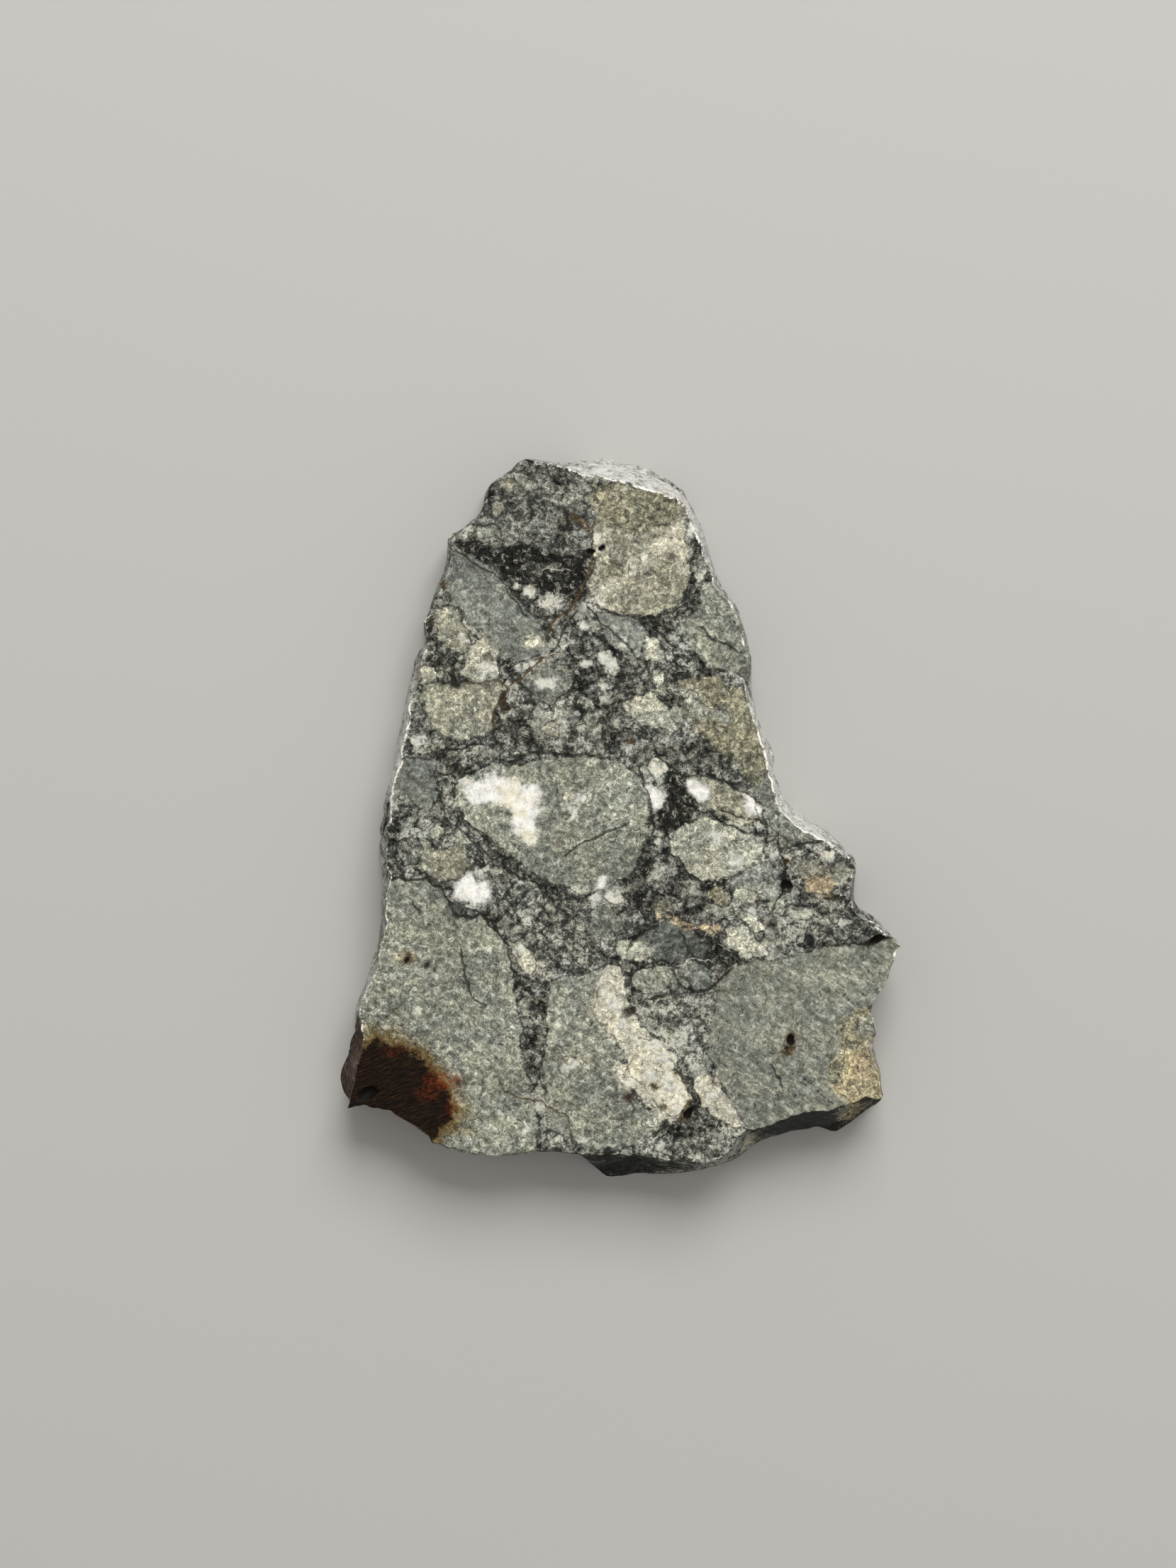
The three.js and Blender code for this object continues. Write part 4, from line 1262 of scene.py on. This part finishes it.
# %% Node group: rust soaked into the rock
SAW_TURN, SAW_STRETCH, SAW_NOISE = math.radians(-22), (3.0, 22.0, 12.0), (1.0, 5.0, 0.75)
RUST_NOISE, RUST_RAGGED = (4.0, 6.0, 0.8), 1.1
HALO_EDGE, HALO_STRENGTH, HALO_TONE = (-0.62, 0.02), 0.85, screen(196, 168, 112)
DUN_EDGE, DUN_STRENGTH, DUN_TONE = (-0.26, 0.0), 0.7, screen(98, 76, 40)
STAIN_EDGE, STAIN_TONE = (-0.06, 0.12), screen(11, 5, 2)
SCRATCH_EDGE, SCRATCH_TONE, SCRATCH_HEIGHT = (0.45, 0.72), screen(64, 42, 18), 0.012
GLOW_NOISE, GLOW_EDGE, GLOW_STRENGTH = (7.0, 6.0, 0.85), (0.44, 0.62), 0.85
GLOW_TONE = screen(146, 58, 22)
rusty, given, result = new_group(
    "Rust", {"Color": "Color", "Depth": "Float", "Ember": "Float", "Place": "Vector"},
    {"Color": "Color", "Mask": "Float", "Height": "Float"})
turned = add(rusty, "VectorRotate", {"Vector": given["Place"], "Angle": SAW_TURN},
             rotation_type="Z_AXIS").outputs[0]
scratches = speckle(rusty, vector(rusty, "MULTIPLY", turned, SAW_STRETCH), *SAW_NOISE)
edge = sway(rusty, speckle(rusty, given["Place"], *RUST_NOISE), RUST_RAGGED, given["Depth"])
colour = cover(rusty, remap(rusty, edge, *HALO_EDGE), HALO_STRENGTH, given["Color"], HALO_TONE,
               "MULTIPLY")
colour = cover(rusty, remap(rusty, edge, *DUN_EDGE), DUN_STRENGTH, colour, DUN_TONE)
dark = remap(rusty, edge, *STAIN_EDGE)
stain = blend(rusty, remap(rusty, scratches, *SCRATCH_EDGE), STAIN_TONE, SCRATCH_TONE)
colour = blend(rusty, dark, colour, stain)
glow = remap(rusty, speckle(rusty, given["Place"], *GLOW_NOISE), *GLOW_EDGE)
glow = calc(rusty, "MULTIPLY", given["Ember"], glow)
colour = cover(rusty, glow, GLOW_STRENGTH, colour, GLOW_TONE)
height = calc(rusty, "MULTIPLY", calc(rusty, "MULTIPLY", scratches, dark), SCRATCH_HEIGHT)
give(rusty, result, Color=colour, Mask=dark, Height=height)

# %% [markdown]
# The whole rock is one group that reads the layers of the mesh. The ground shows in ragged patches
# between the clasts, and darker drifts run through it. Every tone is then multiplied by two to the
# power of a swing, so that light and dark swing alike, as they do in a real mottle.

# %% Node group: the whole rock, its clasts and its crushed ground
PATCH_NOISE, PATCH_SWING, PATCH_EDGE = (3.5, 5.0, 0.75), 2.2, (0.3, 0.7)
CLAST_FRAGMENTS, GROUND_FELT = 0.12, 1.15
DRIFT_NOISE, DRIFT_SWING = (1.4, 5.0, 0.65), 3.2
GROUND_PALE, GROUND_DARK = screen(128, 128, 119), screen(32, 32, 29)
HUE_EDGE, COOL, WARM = (0.38, 0.62), (0.985, 1.0, 1.015, 1.0), (1.02, 1.0, 0.955, 1.0)
BRIGHTEST = 3.0  # the most that a tone is multiplied by
rock, given, result = new_group(
    "Breccia", {"Place": "Vector", "Tone": "Color", "Direction": "Vector",
                **dict.fromkeys(rock_layers, "Float")},
    {"Color": "Color", "Roughness": "Float", "Height": "Float"})
place = given["Place"]
felt = use(rock, felted, {"Place": place})
fragments = use(rock, crushed, {"Place": place})[0]
slanting = use(rock, streaks, {"Place": place, "Direction": given["Direction"]})[0]
patchy = sway(rock, speckle(rock, place, *PATCH_NOISE), PATCH_SWING, given["Ground"])
shows = remap(rock, patchy, *PATCH_EDGE)
clast_swing = calc(rock, "MULTIPLY", calc(rock, "ADD", felt["Swing"], slanting), given["Mottling"])
clast_swing = calc(rock, "MULTIPLY_ADD", fragments, CLAST_FRAGMENTS, clast_swing)
ground_swing = calc(rock, "MULTIPLY", fragments, given["Busy"])
ground_swing = calc(rock, "MULTIPLY_ADD", felt["Swing"], GROUND_FELT, ground_swing)
ground_swing = calc(rock, "ADD", ground_swing, slanting)
drift = sway(rock, speckle(rock, place, *DRIFT_NOISE), DRIFT_SWING, given["Darkness"])
darkness_here = remap(rock, drift, 0.0, 1.0)
ground_tone = blend(rock, darkness_here, GROUND_PALE, GROUND_DARK)
tinted = blend(rock, remap(rock, felt["Hue"], *HUE_EDGE), COOL, WARM)


def lit(base, exponent):
    """A tone times two to the power of a swing, so that light and dark swing alike."""
    factor = calc(rock, "MINIMUM", calc(rock, "POWER", 2.0, exponent), BRIGHTEST)
    return blend(rock, 1.0, blend(rock, 1.0, base, factor, "MULTIPLY"), tinted, "MULTIPLY")


colour = blend(rock, shows, lit(given["Tone"], clast_swing), lit(ground_tone, ground_swing))

# %% [markdown]
# Fine white threads curl through the dark ground, and dark ones run through everything. The white
# clasts lie over both. Their edge is fuzzy where they are loose, and hard where they are chalky.

# %% The whole rock: its threads and white clasts
PALE_THREADS = ((2.2, 0.016), (4.0, 0.02))  # scale, and how far from its middle the noise may be
PALE_THREAD_GAIN, PALE_THREAD_LEAST, PALE_THREAD_TONE = 0.5, 0.04, screen(214, 210, 192)
DARK_THREADS = ((0.9, 0.009, 0.8), (2.2, 0.02, 0.65))  # scale, width and strength
DARK_THREAD_SHIFT, DARK_THREAD_TONE = (31.0, 17.0, 5.0), screen(42, 42, 38)
FUZZ_NOISE, FUZZ_LOOSE, FUZZ_CHALK, FUZZ_EDGE = (3.6, 6.0, 0.75), 1.15, -0.75, (-0.09, 0.12)
CREAM_NOISE, CREAM_SWING = (2.6, 4.0, 0.65), 1.8
LOOSE_TONE, CREAM_TONE, CHALK_TONE = screen(220, 221, 212), screen(243, 236, 212), screen(252, 250, 242)
CREAM_EDGE, CHALK_EDGE = (-0.3, 0.5), (0.5, 1.0)
WHITE_GRAIN = (-2.5, 1.2, 0.62, 1.04)  # from these swings to these shares of the white
LOOSE_COVER, CHALK_COVER = 0.92, 0.08
pale = [use(rock, threads, {"Place": place, "Scale": scale, "Width": width})[0]
        for scale, width in PALE_THREADS]
in_dark = calc(rock, "MULTIPLY_ADD", calc(rock, "MULTIPLY", shows, darkness_here), PALE_THREAD_GAIN,
               PALE_THREAD_LEAST)
colour = blend(rock, calc(rock, "MULTIPLY", calc(rock, "MAXIMUM", *pale), in_dark), colour,
               PALE_THREAD_TONE)
shifted = vector(rock, "ADD", place, DARK_THREAD_SHIFT)
for scale, width, strength in DARK_THREADS:
    dark = use(rock, threads, {"Place": shifted, "Scale": scale, "Width": width})[0]
    colour = cover(rock, dark, strength, colour, DARK_THREAD_TONE)
fuzz_strength = calc(rock, "MULTIPLY_ADD", given["Chalk"], FUZZ_CHALK, FUZZ_LOOSE)
fuzz = sway(rock, speckle(rock, place, *FUZZ_NOISE), fuzz_strength, given["White"])
creamy = sway(rock, speckle(rock, place, *CREAM_NOISE), CREAM_SWING, given["Chalk"])
chalk_tone = blend(rock, remap(rock, creamy, *CREAM_EDGE), LOOSE_TONE, CREAM_TONE)
chalk_tone = blend(rock, remap(rock, creamy, *CHALK_EDGE), chalk_tone, CHALK_TONE)
chalk_tone = blend(rock, 1.0, chalk_tone, remap(rock, felt["Swing"], *WHITE_GRAIN), "MULTIPLY")
chalk_cover = calc(rock, "MULTIPLY_ADD", given["Chalk"], CHALK_COVER, LOOSE_COVER)
colour = cover(rock, remap(rock, fuzz, *FUZZ_EDGE), chalk_cover, colour, chalk_tone)

# %% The whole rock: its lines, its rust and its fine relief
LINES = {  # half width in mm, share of gaps and tone
    "Vein": (0.026, 0.34, screen(84, 66, 38)),
    "Crack": (0.027, 0.37, screen(30, 30, 27)),
    "Hair": (0.004, 0.4, screen(222, 219, 203)),
}
LINE_STRENGTH, LINE_HEIGHT = 0.85, -0.02
SEAM = {"Near": 1.0, "Half Width": 0.016, "Gaps": 0.5}
SEAM_STRENGTH, SEAM_TONE = 0.7, screen(44, 44, 40)
LAPPED_ROUGHNESS, RUSTY_ROUGHNESS = 0.62, 0.5
GRAIN_RELIEF = 0.4
lines = {}
for name, (half_width, gaps, line_tone) in LINES.items():
    lines[name] = use(rock, drawing, {
        "Offset": given[name + " Offset"], "Near": given[name + " Near"], "Half Width": half_width,
        "Place": place, "Gaps": gaps})[0]
    colour = cover(rock, lines[name], LINE_STRENGTH, colour, line_tone)
seam_line = use(rock, drawing, {"Offset": given["Seam"], "Place": place, **SEAM})[0]
colour = cover(rock, seam_line, SEAM_STRENGTH, colour, SEAM_TONE)
stained = use(rock, rusty, {"Color": colour, "Depth": given["Rust"], "Ember": given["Ember"],
                            "Place": place})
height = calc(rock, "MULTIPLY_ADD", felt["Height"], GRAIN_RELIEF, stained["Height"])
grooves = calc(rock, "ADD", lines["Crack"], lines["Vein"])
height = calc(rock, "MULTIPLY_ADD", grooves, LINE_HEIGHT, height)
roughness = remap(rock, stained["Mask"], 0.0, 1.0, LAPPED_ROUGHNESS, RUSTY_ROUGHNESS)
give(rock, result, Color=stained["Color"], Roughness=roughness, Height=height)
print(f"{len(bpy.data.node_groups)} node groups, {len(rock.nodes)} nodes in the rock's own")


# %% What both materials begin and end with
def stored(tree, name, output="Fac"):
    """An attribute of the mesh, as a socket."""
    return add(tree, "Attribute", attribute_name=name).outputs[output]


def new_material(name):
    """A material with only a Principled shader, and its tree with the rock group fed from the mesh."""
    material = bpy.data.materials.new(name)
    material.use_nodes = True
    tree = material.node_tree
    tree.nodes.clear()
    shader = tree.nodes.new("ShaderNodeBsdfPrincipled")
    tree.links.new(shader.outputs[0], tree.nodes.new("ShaderNodeOutputMaterial").inputs[0])
    in_mm = add(tree, "VectorMath", {0: add(tree, "TexCoord").outputs["Object"], "Scale": 1 / MM},
                operation="SCALE").outputs[0]
    inputs = {label: stored(tree, label.lower()) for label in rock_layers}
    inputs.update({"Place": in_mm, "Tone": stored(tree, "tone", "Color"),
                   "Direction": stored(tree, "direction", "Vector")})
    return material, tree, shader, use(tree, rock, inputs), in_mm


def finish_material(tree, shader, colour, height):
    """Feed the shader: the height is in mm, so the bump's distance is a millimetre."""
    tree.links.new(colour, shader.inputs["Base Color"])
    bump = add(tree, "Bump", {"Height": height, "Distance": MM, "Strength": 1.0})
    tree.links.new(bump.outputs[0], shader.inputs["Normal"])


# %% Material: a lapped face
PIT_DEPTHS, PAINTED_PIT_SHADE_TONE = (0.0, 0.05), screen(10, 8, 6)
EDGE_NOISE, EDGE_SWING, EDGE_COVER = (2.6, 6.0, 0.85), 6.0, (-0.05, 0.4)
EDGE_TONE = screen(248, 245, 234)
sawn, tree, shader, look, place = new_material("sawn breccia")
# Painted shade: the pits darken to near black as they deepen.
pit_shade = remap(tree, stored(tree, "pit"), *PIT_DEPTHS)
colour = blend(tree, pit_shade, look["Color"], PAINTED_PIT_SHADE_TONE)
crumbs = sway(tree, speckle(tree, place, *EDGE_NOISE), EDGE_SWING, stored(tree, "edge"))
colour = blend(tree, remap(tree, crumbs, *EDGE_COVER), colour, EDGE_TONE)
shader.inputs["Specular IOR Level"].default_value = 0.1
tree.links.new(look["Roughness"], shader.inputs["Roughness"])
finish_material(tree, shader, colour, look["Height"])

# %% [markdown]
# On the break, white powder and painted light lie on the crests of a pale stretch, and a stretch that
# faces away from the lamp has painted shadows in its hollows. Both come from one crumbly noise, so the
# powder takes its peaks and the painted shadows its dips. Rust covers both.

# %% Material: the broken rim
CRUMB_NOISE, CRUMB_HEIGHT = (4.5, 6.0, 0.82), 0.14
BLOCK_CELLS, BLOCK_HEIGHT = {"Scale": 3.2, "Detail": 2.0, "Roughness": 0.7}, 0.12
POWDER_SWING, POWDER_EDGE, POWDER_STRENGTH = 3.0, (0.1, 1.0), 0.95
POWDER_GRAINS, POWDER_DIM, POWDER_WHITE = (0.36, 0.58), screen(196, 193, 179), screen(255, 254, 248)
SHADOW_SWING, SHADOW_EDGE, SHADOW_STRENGTH = 2.0, (0.05, -0.45), 0.88
SHADOW_TONE = screen(22, 21, 19)
RIM_RUST_EDGE, RIM_RUST_STRENGTH = (-0.3, 0.15), 0.9
RIM_RUST_GRAINS, RIM_RUST_DARK, RIM_RUST_PALE = (0.4, 0.62), screen(46, 34, 26), screen(124, 100, 86)
broken, tree, shader, look, place = new_material("broken breccia")
crumb = speckle(tree, place, *CRUMB_NOISE)
block = add(tree, "TexVoronoi", {"Vector": place, **BLOCK_CELLS}).outputs[0]
powder_and_painted_light_here = stored(tree, "powder_and_painted_light")
# The powder's reach follows the rim's map of powder and painted light.
powder = remap(tree, sway(tree, crumb, POWDER_SWING, powder_and_painted_light_here), *POWDER_EDGE)
powder_tone = blend(tree, remap(tree, crumb, *POWDER_GRAINS), POWDER_DIM, POWDER_WHITE)
colour = cover(tree, powder, POWDER_STRENGTH, look["Color"], powder_tone)
# Painted shadow: near black in the crumbly dips where the map is below 0.
shadow = remap(tree, sway(tree, crumb, SHADOW_SWING, powder_and_painted_light_here), *SHADOW_EDGE)
colour = cover(tree, shadow, SHADOW_STRENGTH, colour, SHADOW_TONE)
rusted = remap(tree, stored(tree, "rust"), *RIM_RUST_EDGE)
rust_tone = blend(tree, remap(tree, crumb, *RIM_RUST_GRAINS), RIM_RUST_DARK, RIM_RUST_PALE)
colour = cover(tree, rusted, RIM_RUST_STRENGTH, colour, rust_tone)
height = calc(tree, "MULTIPLY_ADD", crumb, CRUMB_HEIGHT, look["Height"])
height = calc(tree, "MULTIPLY_ADD", block, BLOCK_HEIGHT, height)
shader.inputs["Specular IOR Level"].default_value = 0.3
shader.inputs["Roughness"].default_value = 0.75
finish_material(tree, shader, colour, height)

# %% The rim's faces take the second material
mesh.materials.append(sawn)
mesh.materials.append(broken)
face_of = np.zeros(len(mesh.polygons), np.int32)
on_rim = np.concatenate([rim[quads].min(axis=1), rim[triangles].min(axis=1)]) > 0
face_of[on_rim] = 1
mesh.polygons.foreach_set("material_index", face_of)
print(f"{int(on_rim.sum())} faces are rim")

# %% [markdown]
# ## The studio
# A pale floor, a pale sky for fill and one large soft light from above the top of the picture. The
# photograph is lit from there too: the top of the rim is bright and its foot is dark. The camera looks
# straight down on the slice as it lies on its back.

# %% Floor and sky
FLOOR_SIZE, FLOOR_TONE = 0.6, screen(190, 188, 184)
SKY_TONE, SKY_STRENGTH = (1.0, 0.985, 0.955, 1.0), 0.45
bpy.ops.mesh.primitive_plane_add(size=FLOOR_SIZE)
floor = bpy.context.object
floor.name = "floor"
pale_floor = bpy.data.materials.new("pale floor")
pale_floor.use_nodes = True
floor_shader = pale_floor.node_tree.nodes["Principled BSDF"].inputs
floor_shader["Base Color"].default_value = FLOOR_TONE
floor_shader["Roughness"].default_value = 0.9
floor.data.materials.append(pale_floor)

world = bpy.data.worlds.new("pale sky")
bpy.context.scene.world = world
world.use_nodes = True
sky = world.node_tree.nodes["Background"].inputs
sky["Color"].default_value = SKY_TONE
sky["Strength"].default_value = SKY_STRENGTH

# %% Light and camera
LIGHT_PLACE, LIGHT_SIZE, LIGHT_WATTS = (0.04, 0.16, 0.17), 0.14, 0.5  # metres and watts
CAMERA_PLACE = (-0.00089, 0.00092, 0.1249)
LENS, SENSOR = 100, 36  # mm
light = bpy.data.lights.new("key", "AREA")
light.size, light.energy = LIGHT_SIZE, LIGHT_WATTS
lamp = bpy.data.objects.new("key", light)
bpy.context.collection.objects.link(lamp)
lamp.location = LIGHT_PLACE
lamp.rotation_euler = (-Vector(LIGHT_PLACE)).to_track_quat("-Z", "Y").to_euler()
camera_data = bpy.data.cameras.new("camera")
camera_data.lens, camera_data.sensor_width = LENS, SENSOR
camera_data.clip_start = 0.01
camera = bpy.data.objects.new("camera", camera_data)
bpy.context.collection.objects.link(camera)
camera.location = CAMERA_PLACE
bpy.context.scene.camera = camera
bpy.context.scene.view_settings.view_transform = "Standard"
